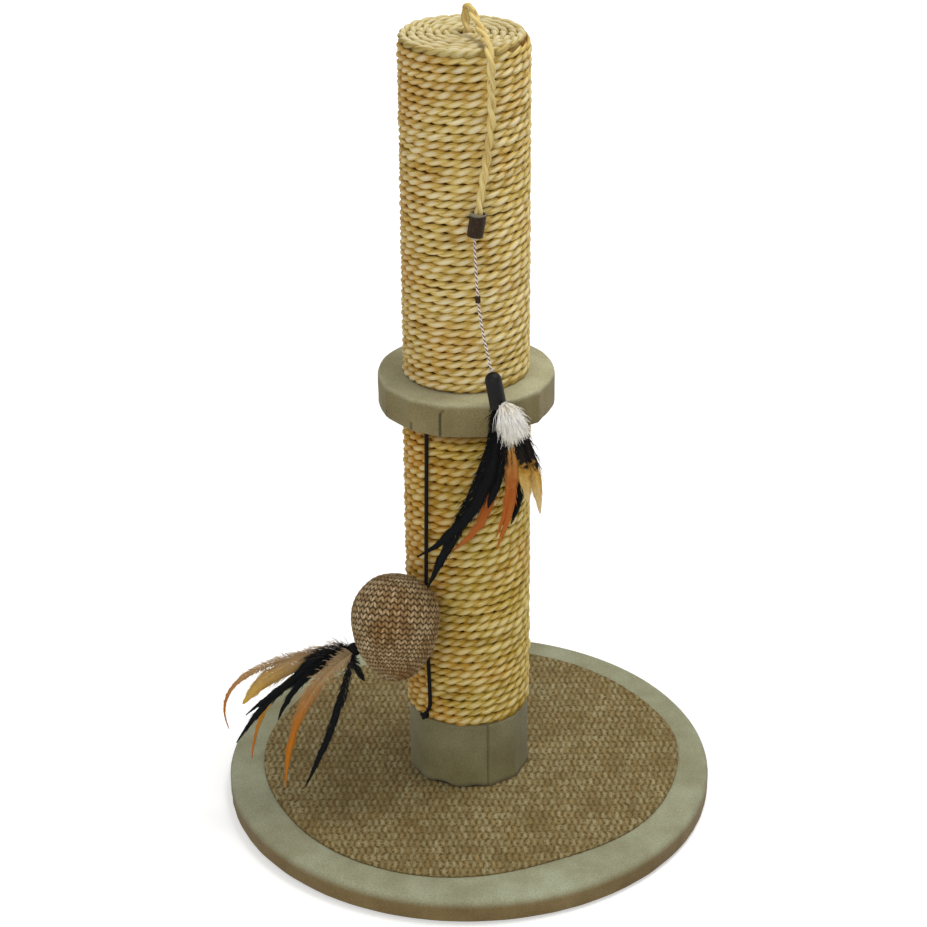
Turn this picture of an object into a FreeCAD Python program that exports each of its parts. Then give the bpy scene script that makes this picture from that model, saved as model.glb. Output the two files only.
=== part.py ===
import FreeCAD, Part
import math
import os

from FreeCAD import Vector

# Cat scratcher: a round cloth-covered base with a woven mat, a rope-wound post in two lengths with a
# cloth-covered collar between them, a coiled rope top, a feather lure on a rope and a ball on an elastic.
# Millimetres. Z is up, the floor is z = 0, the post stands on the Z axis and -Y is the front.

# Base
base_radius = 190.0
liner_radius = 174.0
liner_thickness = 1.0
cloth = 1.2                      # thickness of the suede cloth everywhere
board_thickness = 18.0
base_rounds = (6.0, 4.0)         # top and bottom rim
hem_inner_radius = 160.0
mat_radius = 164.0
mat_thickness = 2.2

# Post
tube_outer_radius = 41.0
tube_wall = 3.0
sleeve_radius = 46.3
sleeve_lap = 0.8                 # step where one end of the sleeve laps over the other
sleeve_lap_start = 19.0          # degrees round the post from the front, towards +X
sleeve_lap_end = 52.0
sleeve_top = 79.3
collar_radius = 65.0
collar_bottom = 334.0
collar_top = 360.6
collar_rounds = (2.6, 2.2)
post_top = 609.0                 # top of the upper tube, under the coil

# Rope on the post: each length of post carries two lengths of rope, butted end to end
lower_turns = 18                 # whole turns in each lower length of rope
upper_turns = 20                 # whole turns in each upper length of rope
rope_gap = 0.45                  # least gap between turns
rope_seat = 0.05                 # gap between the rope and the tube
butt_gap = 0.6                   # half the gap where two rope ends meet, measured on the rope
coil_inner_radius = 12.0
coil_outer_radius = 46.0
coil_turns = 5.6

# Plugs and fasteners
plug_height = 22.0
plug_fit = 0.05
bolt_radius = 4.0
bolt_head_flats = 13.0
bolt_head_height = 5.0
bolt_length = 46.0
washer_radius = 12.0
washer_thickness = 1.6
recess_radius = 14.0
recess_depth = 8.0
clearance_hole_radius = 4.5
insert_radius = 6.0
insert_flange_radius = 9.0
insert_flange = 1.5
insert_length = 18.0
thread_fit = 0.05
stud_half_length = 31.0

# Toy rope and its lure
toy_rope_diameter = 6.3
toy_rope_route = [
    (2.6, 3.0, 586.0), (2.6, 3.0, 600.0), (2.4, 3.2, 613.0), (1.0, 5.0, 624.0), (1.6, 0.5, 633.5),
    (5.2, -9.5, 632.0), (9.3, -18.5, 625.5), (13.0, -31.0, 619.6), (15.8, -45.0, 619.0),
    (18.0, -54.5, 609.5), (18.4, -51.5, 592.0), (18.6, -48.6, 576.0), (18.0, -48.6, 560.0),
    (15.2, -49.4, 540.0), (12.0, -51.2, 520.0), (10.1, -52.5, 506.0), (7.5, -53.03, 490.0),
]
rope_knot_radius = 7.0
ferrule_top = (9.3, -52.7, 501.0)
ferrule_bottom = (6.6, -53.2, 484.5)
ferrule_radius = 5.8
ferrule_wall = 1.2
ferrule_mouth_depth = 5.0
lure_cord_diameter = 2.0
lure_cord_route = [
    (6.3, -53.25, 482.5), (7.0, -56.0, 461.0), (8.4, -59.4, 439.5), (11.6, -63.2, 415.0),
    (17.6, -66.9, 388.9),
]
lure_knot_radius = 1.6
bead_radius = 1.9
bead_length = 5.0
cap_apex = (18.0, -67.0, 387.0)
cap_mouth = (22.7, -67.9, 361.0)
cap_radius = 6.0

# Ball and its elastic
ball_angle = -41.5               # degrees round the post from the front, towards +X
ball_distance = 82.0
ball_radius = 33.4
ball_centre_z = 185.5
ball_bottom_z = 134.0
ball_bottom_radius = 11.0
ball_skin = 1.6
elastic_diameter = 3.0
elastic_angle = -36.0
elastic_out = 49.6               # distance from the post axis at the collar
elastic_at_ball = 53.0           # distance from the post axis where the ball holds it off
elastic_top = 347.0
elastic_route = [                # degrees round the post, distance from its axis, height
    (elastic_angle, elastic_out, elastic_top), (elastic_angle, elastic_out, 326.0),
    (elastic_angle, elastic_at_ball, 206.0), (elastic_angle, elastic_at_ball, 158.0),
    (elastic_angle, 49.9, 99.0), (-36.8, 50.2, 92.0), (-41.0, 51.0, 85.5),
]
elastic_bore_radius = 2.0
elastic_knot_radius = 3.6
knot_pocket_radius = 5.0
bottom_knot_ahead = 1.2          # knot centre past the elastic's end
binding_place = (-85.2, -62.0, 158.5)
binding_radius = 6.0
binding_length = 5.0

# Feathers: start offset in depth, bend and tip as (x, y, z), greatest width
feather_thickness = 0.9
feather_stations = [(0.0, 0.16), (0.15, 0.5), (0.4, 1.0), (0.7, 0.9), (0.88, 0.6), (1.0, 0.12)]
lure_feather_start = (22.5, -67.9, 363.5)
lure_feathers = {
    "lure_feathers_black": [
        (-3.3, (22.2, -77.0, 287.0), (-36.6, -83.0, 248.2), 13.0),
        (-2.0, (20.8, -71.0, 282.3), (-29.5, -77.0, 219.0), 14.0),
        (3.2, (49.1, -62.0, 307.5), (31.8, -63.0, 264.1), 8.0),
    ],
    "lure_feathers_rust": [
        (0.6, (46.0, -66.0, 305.0), (20.8, -68.0, 245.5), 10.0),
        (1.9, (28.2, -64.0, 267.9), (-11.4, -64.0, 242.6), 8.0),
    ],
    "lure_feather_tan": [
        (-0.7, (48.0, -68.5, 330.0), (52.7, -71.0, 277.0), 12.0),
    ],
}
down_start = (25.6, -70.4, 362.6)
down_tip = (41.0, -84.0, 338.0)
down_quill_radius = 0.7
down_radius = 5.5
ball_feather_start = (-86.6, -62.2, 157.6)
ball_feathers = {
    "ball_feathers_black": [
        (-0.7, (-142.0, -70.0, 142.0), (-176.5, -71.0, 82.0), 11.0),
        (-2.1, (-128.0, -76.0, 150.0), (-143.8, -76.0, 105.0), 9.0),
        (-3.5, (-96.0, -80.0, 110.0), (-124.8, -81.0, 48.5), 9.0),
    ],
    "ball_feathers_amber": [
        (2.1, (-190.0, -57.0, 148.0), (-183.5, -57.0, 86.0), 7.0),
        (-4.9, (-134.0, -86.0, 135.0), (-139.5, -88.0, 52.5), 7.0),
    ],
    "ball_feathers_gold": [
        (0.7, (-146.0, -64.0, 150.0), (-170.5, -65.0, 113.0), 10.0),
        (3.5, (-160.0, -52.0, 130.0), (-167.8, -50.0, 54.0), 6.0),
    ],
}

# Heights worked out from the sizes above
board_bottom = liner_thickness + cloth
board_top = board_bottom + board_thickness
base_top = board_top + cloth
mat_top = base_top + mat_thickness
tube_inner_radius = tube_outer_radius - tube_wall
lower_pitch = (collar_bottom - sleeve_top + rope_gap) / (2 * lower_turns + 1.2)
upper_pitch = (post_top - collar_top + rope_gap) / (2 * upper_turns + 1.2)
lower_rope = lower_pitch - rope_gap
upper_rope = upper_pitch - rope_gap


def save(name, shape):
    """Write one node as a STEP file."""
    shape.exportStep("parts/%s.step" % name)
    print(name, "volume", round(shape.Volume, 1), "solids", len(shape.Solids))


def place(point):
    return Vector(*point)


def round_post(angle, distance, z):
    """A point at an angle round the post from the front, towards +X."""
    turn = math.radians(angle)
    return Vector(distance * math.sin(turn), -distance * math.cos(turn), z)


def disc(radius, bottom, top):
    return Part.makeCylinder(radius, top - bottom, Vector(0, 0, bottom))


def edge_rings(shape, z):
    """The outermost circular edge of a solid of revolution at one height."""
    def off(edge):
        return abs(edge.BoundBox.ZMin - z) + abs(edge.BoundBox.ZMax - z)
    flat = [edge for edge in shape.Edges if off(edge) < 1e-6]
    return [max(flat, key=lambda edge: edge.BoundBox.XLength)]


def soft_disc(radius, bottom, top, rounds, inset=0.0):
    """A disc with rounded top and bottom rims, drawn in all round by inset."""
    shape = disc(radius - inset, bottom + inset, top - inset)
    shape = shape.makeFillet(rounds[0] - inset, edge_rings(shape, top - inset))
    return shape.makeFillet(rounds[1] - inset, edge_rings(shape, bottom + inset))


def bored(shape, radius, point=Vector(0, 0, 0)):
    """Cut a hole right through along Z."""
    hole = Part.makeCylinder(radius, 2000.0, Vector(point.x, point.y, -1000.0))
    return shape.cut(hole)


def rod(start, end, radius):
    return Part.makeCylinder(radius, (end - start).Length, start, end - start)


def arc_from(start, tangent, end):
    """The circular arc that leaves start along tangent and ends at end."""
    chord = end - start
    across = chord - tangent * chord.dot(tangent)
    if across.Length < 1e-7:
        return Part.LineSegment(start, end)
    across.normalize()
    radius = chord.dot(chord) / (2.0 * chord.dot(across))
    centre = start + across * radius
    to_middle = (start - centre) + (end - centre)
    if chord.dot(tangent) < 0:
        to_middle = to_middle * -1.0
    to_middle.normalize()
    return Part.Arc(start, centre + to_middle * radius, end)


def biarc(start, tangent_a, end, tangent_b):
    """Two arcs that meet smoothly and keep both end directions."""
    chord = end - start
    total = tangent_a + tangent_b
    spread = 2.0 * (1.0 - tangent_a.dot(tangent_b))
    along = chord.dot(total)
    reach = (-along + math.sqrt(along * along + spread * chord.dot(chord))) / spread
    joint = (start + tangent_a * reach + end - tangent_b * reach) * 0.5
    first = arc_from(start, tangent_a, joint)
    second = arc_from(end, tangent_b * -1.0, joint)
    return [first.toShape(), second.toShape()]


def pipe(wire, start, tangent, radius):
    """Sweep a round section along a wire."""
    section = Part.Wire([Part.makeCircle(radius, start, tangent)])
    shell = Part.BRepOffsetAPI.MakePipeShell(wire)
    shell.add(section)
    shell.build()
    shell.makeSolid()
    return Part.Solid(shell.shape())


def least_gap(points, diameter, skip):
    """Least gap between stretches of one tube that are at least skip points apart."""
    least = 1e9
    for i, p in enumerate(points):
        for q in points[i + skip:i + 3 * skip]:
            least = min(least, p.distanceToPoint(q) - diameter)
    return least


def winding(name, spiral, first, last, step, diameter):
    """One unbroken tube along spiral(turn), in biarcs of step turns, with a straight run at each end."""
    def direction(turn):
        small = 1e-4
        away = spiral(turn + small) - spiral(turn - small)
        return away.normalize()
    count = max(1, round((last - first) / step))
    turns = [first + (last - first) * i / count for i in range(count + 1)]
    start = spiral(first) - direction(first) * diameter
    edges = [Part.LineSegment(start, spiral(first)).toShape()]
    for a, b in zip(turns, turns[1:]):
        edges += biarc(spiral(a), direction(a), spiral(b), direction(b))
    end = spiral(last) + direction(last) * diameter
    edges.append(Part.LineSegment(spiral(last), end).toShape())
    wire = Part.Wire(Part.__sortEdges__(edges))
    samples = [spiral(first + (last - first) * i / (count * 24)) for i in range(count * 24 + 1)]
    gap = least_gap(samples, diameter, round(12 / step))
    print(name, "turns", round(last - first, 2), "least gap", round(gap, 3))
    return pipe(wire, start, direction(first), diameter / 2)


def post_helix(bottom, pitch, diameter):
    """Rope laid on the tube: turn 0 is at the left, and each turn climbs by one pitch."""
    radius = tube_outer_radius + rope_seat + diameter / 2

    def spiral(turn):
        angle = 2 * math.pi * turn
        height = bottom + diameter / 2 + rope_seat + pitch * turn
        return Vector(-radius * math.cos(angle), -radius * math.sin(angle), height)
    return spiral, radius


def rope_lengths(prefix, bottom, pitch, diameter, turns):
    """Two lengths of rope, one above the other, butted half-way up."""
    spiral, radius = post_helix(bottom, pitch, diameter)
    butt = (diameter + butt_gap) / (2 * math.pi * radius)
    low = winding(prefix + "_bottom", spiral, butt, butt + turns, 0.5, diameter)
    second = 3 * butt + turns
    high = winding(prefix + "_top", spiral, second, second + turns, 0.5, diameter)
    save(prefix + "_bottom", low)
    save(prefix + "_top", high)


def top_coil():
    """The flat coil that closes the top of the post."""
    height = post_top + upper_rope / 2 + rope_seat
    step_in = (coil_outer_radius - coil_inner_radius) / coil_turns

    def spiral(turn):
        radius = coil_outer_radius - step_in * turn
        angle = 2 * math.pi * turn
        return Vector(radius * math.cos(angle), -radius * math.sin(angle), height)
    diameter = min(upper_rope, step_in - rope_gap)
    save("top_coil", winding("top_coil", spiral, 0.0, coil_turns, 0.25, diameter))


def route_wire(name, points, diameter):
    """Straight runs joined by tangent arcs."""
    edges = []
    radii = []
    here = points[0]
    for before, corner, after in zip(points, points[1:], points[2:]):
        arrive = (corner - before).normalize()
        leave = (after - corner).normalize()
        shorter = min((corner - before).Length, (after - corner).Length)
        half_turn = arrive.getAngle(leave) / 2
        if half_turn < 1e-3:
            continue
        trim = 0.45 * shorter
        radii.append(trim / math.tan(half_turn))
        start = corner - arrive * trim
        edges.append(Part.LineSegment(here, start).toShape())
        here = corner + leave * trim
        edges.append(arc_from(start, arrive, here).toShape())
    edges.append(Part.LineSegment(here, points[-1]).toShape())
    wire = Part.Wire(edges)
    print(name, "length", round(wire.Length, 1), "least radius", round(min(radii), 1), "diameter", diameter)
    return wire


def cord(name, points, diameter):
    """A tube of cord along a route of points."""
    wire = route_wire(name, points, diameter)
    tube = pipe(wire, points[0], points[1] - points[0], diameter / 2)
    plain = math.pi * diameter * diameter / 4 * wire.Length
    print(name, "volume over plain length", round(tube.Volume / plain, 4))
    return tube


def base():
    """Board in its cloth cover, the liner under it and the woven mat on it."""
    liner = bored(disc(liner_radius, 0.0, liner_thickness), recess_radius + 3.0)
    save("base_liner", liner)
    outside = soft_disc(base_radius, liner_thickness, base_top, base_rounds)
    inside = soft_disc(base_radius, liner_thickness, base_top, base_rounds, cloth)
    cover = outside.cut(inside).cut(disc(hem_inner_radius, 0.0, board_bottom + 1.0))
    save("base_cover", bored(cover, clearance_hole_radius))
    board = inside.cut(disc(recess_radius, board_bottom, board_bottom + recess_depth))
    save("base_board", bored(board, clearance_hole_radius))
    mat = disc(mat_radius, base_top, mat_top)
    mat = mat.makeFillet(mat_thickness * 0.4, edge_rings(mat, mat_top))
    save("scratch_mat", bored(mat, clearance_hole_radius))


def post_bolt():
    """The bolt that holds the post down, with its washer."""
    seat = board_bottom + recess_depth
    washer = bored(disc(washer_radius, seat - washer_thickness, seat), bolt_radius + 0.2)
    save("bolt_washer", washer)
    head_top = seat - washer_thickness
    corner = bolt_head_flats / math.sqrt(3.0)
    corners = [round_post(60.0 * i, corner, head_top - bolt_head_height) for i in range(7)]
    head = Part.Face(Part.makePolygon(corners)).extrude(Vector(0, 0, bolt_head_height))
    shank = disc(bolt_radius, head_top, head_top + bolt_length)
    save("post_bolt", head.fuse(shank).removeSplitter())


def insert(name, flange_z, up):
    """A threaded bush with a flange, running up or down from its flange."""
    flange_end = flange_z + insert_flange * up
    body_end = flange_z + insert_length * up
    flange = disc(insert_flange_radius, min(flange_z, flange_end), max(flange_z, flange_end))
    body = disc(insert_radius, min(flange_z, body_end), max(flange_z, body_end))
    save(name, bored(flange.fuse(body).removeSplitter(), bolt_radius + thread_fit))


def plug(name, bottom, top, flange_z, up):
    """A turned wooden plug for a tube end, seated round its threaded bush."""
    shape = bored(disc(tube_inner_radius - plug_fit, bottom, top), insert_radius + plug_fit)
    flange_end = flange_z + insert_flange * up
    seat = disc(insert_flange_radius + plug_fit, min(flange_z, flange_end), max(flange_z, flange_end))
    save(name, shape.cut(seat))


def tube(name, bottom, top):
    save(name, bored(disc(tube_outer_radius, bottom, top), tube_inner_radius))


def foot_sleeve():
    """Cloth round the foot of the post over a packing ring, with its lapped seam."""
    packing_radius = sleeve_radius - cloth
    packing = disc(packing_radius - plug_fit, mat_top, sleeve_top - cloth)
    save("foot_packing", bored(packing, tube_outer_radius + plug_fit))
    wall = disc(sleeve_radius, mat_top, sleeve_top)
    wall = wall.makeFillet(cloth, edge_rings(wall, sleeve_top))
    wall = wall.cut(disc(packing_radius, mat_top - 1.0, sleeve_top - cloth))
    wall = bored(wall, tube_outer_radius + plug_fit)
    sweep = sleeve_lap_end - sleeve_lap_start
    lap = Part.makeCylinder(sleeve_radius + sleeve_lap, sleeve_top - cloth - mat_top, Vector(0, 0, mat_top),
                            Vector(0, 0, 1), sweep)
    lap.rotate(Vector(0, 0, 0), Vector(0, 0, 1), sleeve_lap_start - 90.0)
    lap = bored(lap, packing_radius + cloth / 2)
    save("foot_sleeve", wall.fuse(lap).removeSplitter())


def collar():
    """The cloth-covered collar between the two lengths of post."""
    outside = soft_disc(collar_radius, collar_bottom, collar_top, collar_rounds)
    inside = soft_disc(collar_radius, collar_bottom, collar_top, collar_rounds, cloth)
    hole = round_post(elastic_angle, elastic_out, 0.0)
    below = Part.makeCylinder(elastic_bore_radius, collar_bottom + cloth, Vector(hole.x, hole.y, 0.0))
    save("collar_cover", bored(outside.cut(inside), clearance_hole_radius).cut(below))
    core = bored(bored(inside, clearance_hole_radius), elastic_bore_radius, hole)
    pocket_floor = elastic_top - math.sqrt(elastic_knot_radius ** 2 - elastic_bore_radius ** 2)
    pocket = Part.makeCylinder(knot_pocket_radius, 100.0, Vector(hole.x, hole.y, pocket_floor))
    save("collar_core", core.cut(pocket))


def posts():
    """Tubes, plugs, bushes and the stud that joins the two lengths of post."""
    tube("lower_tube", mat_top, collar_bottom)
    tube("upper_tube", collar_top, post_top)
    lower_plug_top = mat_top + plug_height
    plug("lower_bottom_plug", mat_top, lower_plug_top, lower_plug_top, -1)
    insert("bolt_insert", lower_plug_top, -1)
    plug("lower_top_plug", collar_bottom - plug_height, collar_bottom, collar_bottom - plug_height, 1)
    insert("lower_stud_insert", collar_bottom - plug_height, 1)
    plug("upper_bottom_plug", collar_top, collar_top + plug_height, collar_top + plug_height, -1)
    insert("upper_stud_insert", collar_top + plug_height, -1)
    middle = (collar_bottom + collar_top) / 2
    save("joining_stud", disc(bolt_radius, middle - stud_half_length, middle + stud_half_length))
    top_plug = disc(tube_inner_radius - plug_fit, post_top - plug_height, post_top)
    hole = Vector(*toy_rope_route[0])
    save("upper_top_plug", bored(top_plug, toy_rope_diameter / 2 + 0.4, hole))


def toy_rope():
    """The rope from the middle of the coil, its knot under the plug and its ferrule."""
    points = [place(p) for p in toy_rope_route]
    rope = cord("toy_rope", points, toy_rope_diameter)
    save("toy_rope", rope)
    knot_centre = Vector(points[0].x, points[0].y, post_top - plug_height - rope_knot_radius - 0.3)
    knot = Part.makeSphere(rope_knot_radius, knot_centre)
    save("toy_rope_knot", bored(knot, toy_rope_diameter / 2 + 0.02, knot_centre).cut(rope))
    top = place(ferrule_top)
    bottom = place(ferrule_bottom)
    down = (bottom - top).normalize()
    shell = rod(top, bottom, ferrule_radius)
    mouth = rod(top - down, top + down * ferrule_mouth_depth, ferrule_radius - ferrule_wall)
    save("toy_ferrule", shell.cut(mouth).cut(rope))


def lure():
    """The thin cord, its crimp bead, the rubber cap and the feathers in it."""
    points = [place(p) for p in lure_cord_route]
    line = cord("lure_cord", points, lure_cord_diameter)
    bead_at = points[2]
    along = (points[3] - points[1]).normalize()
    bead = rod(bead_at - along * bead_length / 2, bead_at + along * bead_length / 2, bead_radius)
    bead = bead.makeFillet(0.6, [e for e in bead.Edges if e.Curve.TypeId == "Part::GeomCircle"])
    save("lure_bead", bead.cut(line))
    for end in (points[0], points[-1]):
        line = line.fuse(Part.makeSphere(lure_knot_radius, end))
    save("lure_cord", line.removeSplitter())
    apex = place(cap_apex)
    mouth = place(cap_mouth)
    down = (mouth - apex).normalize()
    shoulder = apex + down * cap_radius
    cap = rod(shoulder, mouth, cap_radius).fuse(Part.makeSphere(cap_radius, shoulder)).removeSplitter()
    for quill in feathers(lure_feathers, lure_feather_start) + [lure_down()]:
        cap = cap.cut(quill)
    save("lure_cap", cap)


def blade(start, bend, tip, width):
    """One feather as a thin leaf along a bent line, facing the front."""
    facing = Vector(0, 1, 0)
    sections = []
    for t, share in feather_stations:
        point = start * ((1 - t) ** 2) + bend * (2 * t * (1 - t)) + tip * (t * t)
        along = (bend - start) * (1 - t) + (tip - bend) * t
        side = along.cross(facing).normalize() * (width * share / 2)
        face = facing * (feather_thickness / 2)
        corners = [point + side, point + face, point - side, point - face]
        sections.append(Part.makePolygon(corners + corners[:1]))
    return Part.makeLoft(sections, True, True)


def feathers(groups, start):
    """Feathers of one colour share a node; each starts on its own layer so that none meet."""
    made = []
    for name, group in groups.items():
        leaves = [blade(place(start) + Vector(0, layer, 0), place(bend), place(tip), width)
                  for layer, bend, tip, width in group]
        save(name, Part.makeCompound(leaves) if len(leaves) > 1 else leaves[0])
        made += leaves
    return made


def lure_down():
    """The white down tuft beside the cap mouth, as a plain swollen solid."""
    start = place(down_start)
    tip = place(down_tip)
    along = tip - start
    middle = start + along * 0.55
    tuft = Part.makeSphere(down_radius, middle)
    grown = Part.makeCone(down_quill_radius, down_radius * 0.9, along.Length * 0.45, start, along)
    whole = tuft.fuse(grown).removeSplitter()
    save("lure_down_white", whole)
    return whole


def ball_profile(inset, centre):
    """The pear outline of the ball, turned round its own upright axis."""
    radius = ball_radius - inset
    foot = ball_bottom_radius - inset
    drop = ball_centre_z - ball_bottom_z - inset
    inward = radius - foot
    side_radius = (inward * inward + drop * drop) / (2 * inward)
    mid_drop = drop * 0.5
    side_mid = radius - side_radius + math.sqrt(side_radius ** 2 - mid_drop ** 2)
    half = radius * math.sqrt(0.5)
    top = Vector(0, 0, ball_centre_z + radius)
    belt = Vector(radius, 0, ball_centre_z)
    heel = Vector(foot, 0, ball_centre_z - drop)
    floor = Vector(0, 0, heel.z)
    crown = Part.Arc(top, Vector(half, 0, ball_centre_z + half), belt).toShape()
    side = Part.Arc(belt, Vector(side_mid, 0, ball_centre_z - mid_drop), heel).toShape()
    base_line = Part.makeLine(heel, floor)
    axis_line = Part.makeLine(floor, top)
    face = Part.Face(Part.Wire([crown, side, base_line, axis_line]))
    solid = face.revolve(Vector(0, 0, 0), Vector(0, 0, 1), 360)
    solid = solid.makeFillet(foot * 0.6, edge_rings(solid, heel.z))
    solid.translate(Vector(centre.x, centre.y, 0))
    return solid


def ball():
    """The ball, its woven cover, and the thread that binds the feathers to it."""
    centre = round_post(ball_angle, ball_distance, 0.0)
    channel = round_post(elastic_angle, elastic_at_ball, 0.0)
    whole = ball_profile(0.0, centre)
    inside = ball_profile(ball_skin, centre)
    save("ball_cover", bored(whole.cut(inside), elastic_bore_radius, channel))
    save("ball_core", bored(ball_profile(ball_skin + plug_fit, centre), elastic_bore_radius, channel))
    start = place(binding_place)
    away = (place(ball_feather_start) - start).normalize()
    ring = rod(start - away * binding_length / 2, start + away * binding_length / 2, binding_radius)
    ring = ring.cut(whole)
    for quill in feathers(ball_feathers, ball_feather_start):
        ring = ring.cut(quill)
    save("ball_binding", ring)


def elastic():
    """The elastic from the collar through the ball to the foot sleeve, with its two knots."""
    points = [round_post(*stop) for stop in elastic_route]
    line = cord("ball_cord", points, elastic_diameter)
    save("ball_cord", line)
    top_knot = Part.makeSphere(elastic_knot_radius, points[0])
    save("ball_cord_top_knot", top_knot.cut(line))
    last_run = (points[-1] - points[-2]).normalize()
    knot_centre = points[-1] + last_run * bottom_knot_ahead
    bottom_knot = Part.makeSphere(elastic_knot_radius, knot_centre, last_run)
    save("ball_cord_bottom_knot", bottom_knot.cut(rod(points[-2], points[-1], elastic_diameter / 2)))


os.makedirs("parts", exist_ok=True)
base()
post_bolt()
posts()
foot_sleeve()
collar()
rope_lengths("lower_rope", sleeve_top, lower_pitch, lower_rope, lower_turns)
rope_lengths("upper_rope", collar_top, upper_pitch, upper_rope, upper_turns)
top_coil()
toy_rope()
lure()
ball()
elastic()
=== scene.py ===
# %% [markdown]
# # A rope-wound cat scratching post
#
# The real object is a round board in brushed suede cloth with a woven mat on top. A cardboard post stands
# on it, wound with twisted seagrass rope above and below a padded collar. Two toys hang on it: a feather
# lure on a rope from the top, and a stuffed ball on an elastic beside the post.
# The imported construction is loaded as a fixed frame, and every soft piece is then made over its solid.

# %% Load the construction as a fixed frame
import math
import random

import bmesh
import bpy
import numpy
from mathutils import Matrix, Vector, noise


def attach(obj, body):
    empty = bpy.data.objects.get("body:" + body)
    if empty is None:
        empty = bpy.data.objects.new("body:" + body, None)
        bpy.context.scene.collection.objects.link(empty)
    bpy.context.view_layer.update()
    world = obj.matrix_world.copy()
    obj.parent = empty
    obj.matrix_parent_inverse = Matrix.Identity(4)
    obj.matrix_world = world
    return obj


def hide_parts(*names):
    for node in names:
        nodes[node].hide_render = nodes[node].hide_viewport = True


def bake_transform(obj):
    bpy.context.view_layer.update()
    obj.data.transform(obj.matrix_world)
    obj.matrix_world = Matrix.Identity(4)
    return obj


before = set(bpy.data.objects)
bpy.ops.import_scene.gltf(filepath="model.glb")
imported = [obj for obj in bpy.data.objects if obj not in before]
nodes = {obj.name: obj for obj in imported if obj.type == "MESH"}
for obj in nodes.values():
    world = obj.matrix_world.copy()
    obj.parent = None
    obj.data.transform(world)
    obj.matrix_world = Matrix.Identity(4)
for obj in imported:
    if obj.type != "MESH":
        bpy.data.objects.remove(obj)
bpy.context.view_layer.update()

scene = bpy.context.scene
mm = 0.001

# %% [markdown]
# ## The camera
#
# The photograph was taken from a little above the post, from well back. The camera stands where the fitted
# sizes put it, looks down by the fitted tilt, and has the fitted roll and a very small sideways shift.

# %% Place the camera at the photograph's angle
tilt = math.radians(26.42)
roll = math.radians(-0.399)
ahead = Vector((0.0, math.cos(tilt), -math.sin(tilt)))
level = Vector((1.0, 0.0, 0.0))
above = level.cross(ahead)
across = level * math.cos(roll) + above * math.sin(roll)
upright = above * math.cos(roll) - level * math.sin(roll)
lens = bpy.data.cameras.new("photo_camera")
lens.sensor_width = 36.0
lens.lens = 92.8
lens.shift_x = -0.0037
camera = bpy.data.objects.new("photo_camera", lens)
scene.collection.objects.link(camera)
camera.matrix_world = Matrix((across, upright, -ahead)).transposed().to_4x4()
camera.location = (0.0, -1.6039, 1.0792)
scene.camera = camera
print("camera at", tuple(round(place, 3) for place in camera.location))

# %% [markdown]
# ## Finishes
#
# Each finish is built from nodes, so that it has detail at any distance. One function turns a written colour
# into Blender's linear values, one fills a node's inputs, one adds a node with its settings, one starts a
# finish, and one lets a pattern darken a colour, which most finishes do twice. A pattern takes its scale from a
# real size: a noise of scale 1 / size has features of about that size.

# %% The small functions that every finish uses
def ink(code):
    """An sRGB hex colour as linear red, green, blue and alpha."""
    parts = [int(code[i:i + 2], 16) / 255 for i in (1, 3, 5)]
    return [p / 12.92 if p <= 0.04045 else ((p + 0.055) / 1.055) ** 2.4 for p in parts] + [1.0]


def fill(node, inputs):
    """Sets a node's inputs, by name or in order. A node as a value is linked by its first output in use."""
    for socket, value in inputs.items() if isinstance(inputs, dict) else enumerate(inputs):
        if isinstance(value, bpy.types.Node):
            value = next(output for output in value.outputs if output.enabled)
        if isinstance(value, bpy.types.NodeSocket):
            node.id_data.links.new(value, node.inputs[socket])
        else:
            node.inputs[socket].default_value = value


def add(tree, kind, inputs=(), stops=(), **settings):
    """Adds one node, sets it up, fills its inputs and lays out its colour stops."""
    node = tree.nodes.new("ShaderNode" + kind)
    for name, value in settings.items():
        setattr(node, name, value)
    fill(node, inputs)
    if stops:
        ramp = node.color_ramp.elements
        while len(ramp) < len(stops):
            ramp.new(1.0)
        for element, (spot, code) in zip(ramp, stops):
            element.position = spot
            element.color = ink(code)
    return node


def finish(name, sockets):
    """A new material with one shader, and the numbers that are the same all over it."""
    material = bpy.data.materials.new(name)
    material.use_nodes = True
    shader = material.node_tree.nodes["Principled BSDF"]
    fill(shader, sockets)
    return material, material.node_tree, shader


def shaded(tree, colour, pattern, stops):
    """A colour that a pattern darkens, by the tones of a ramp."""
    tones = add(tree, "ValToRGB", [pattern], stops)
    return add(tree, "Mix", {0: 1.0, 6: colour, 7: tones}, data_type="RGBA", blend_type="MULTIPLY")


print("a mid grey of #808080 is", round(ink("#808080")[0], 3), "linear")
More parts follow.
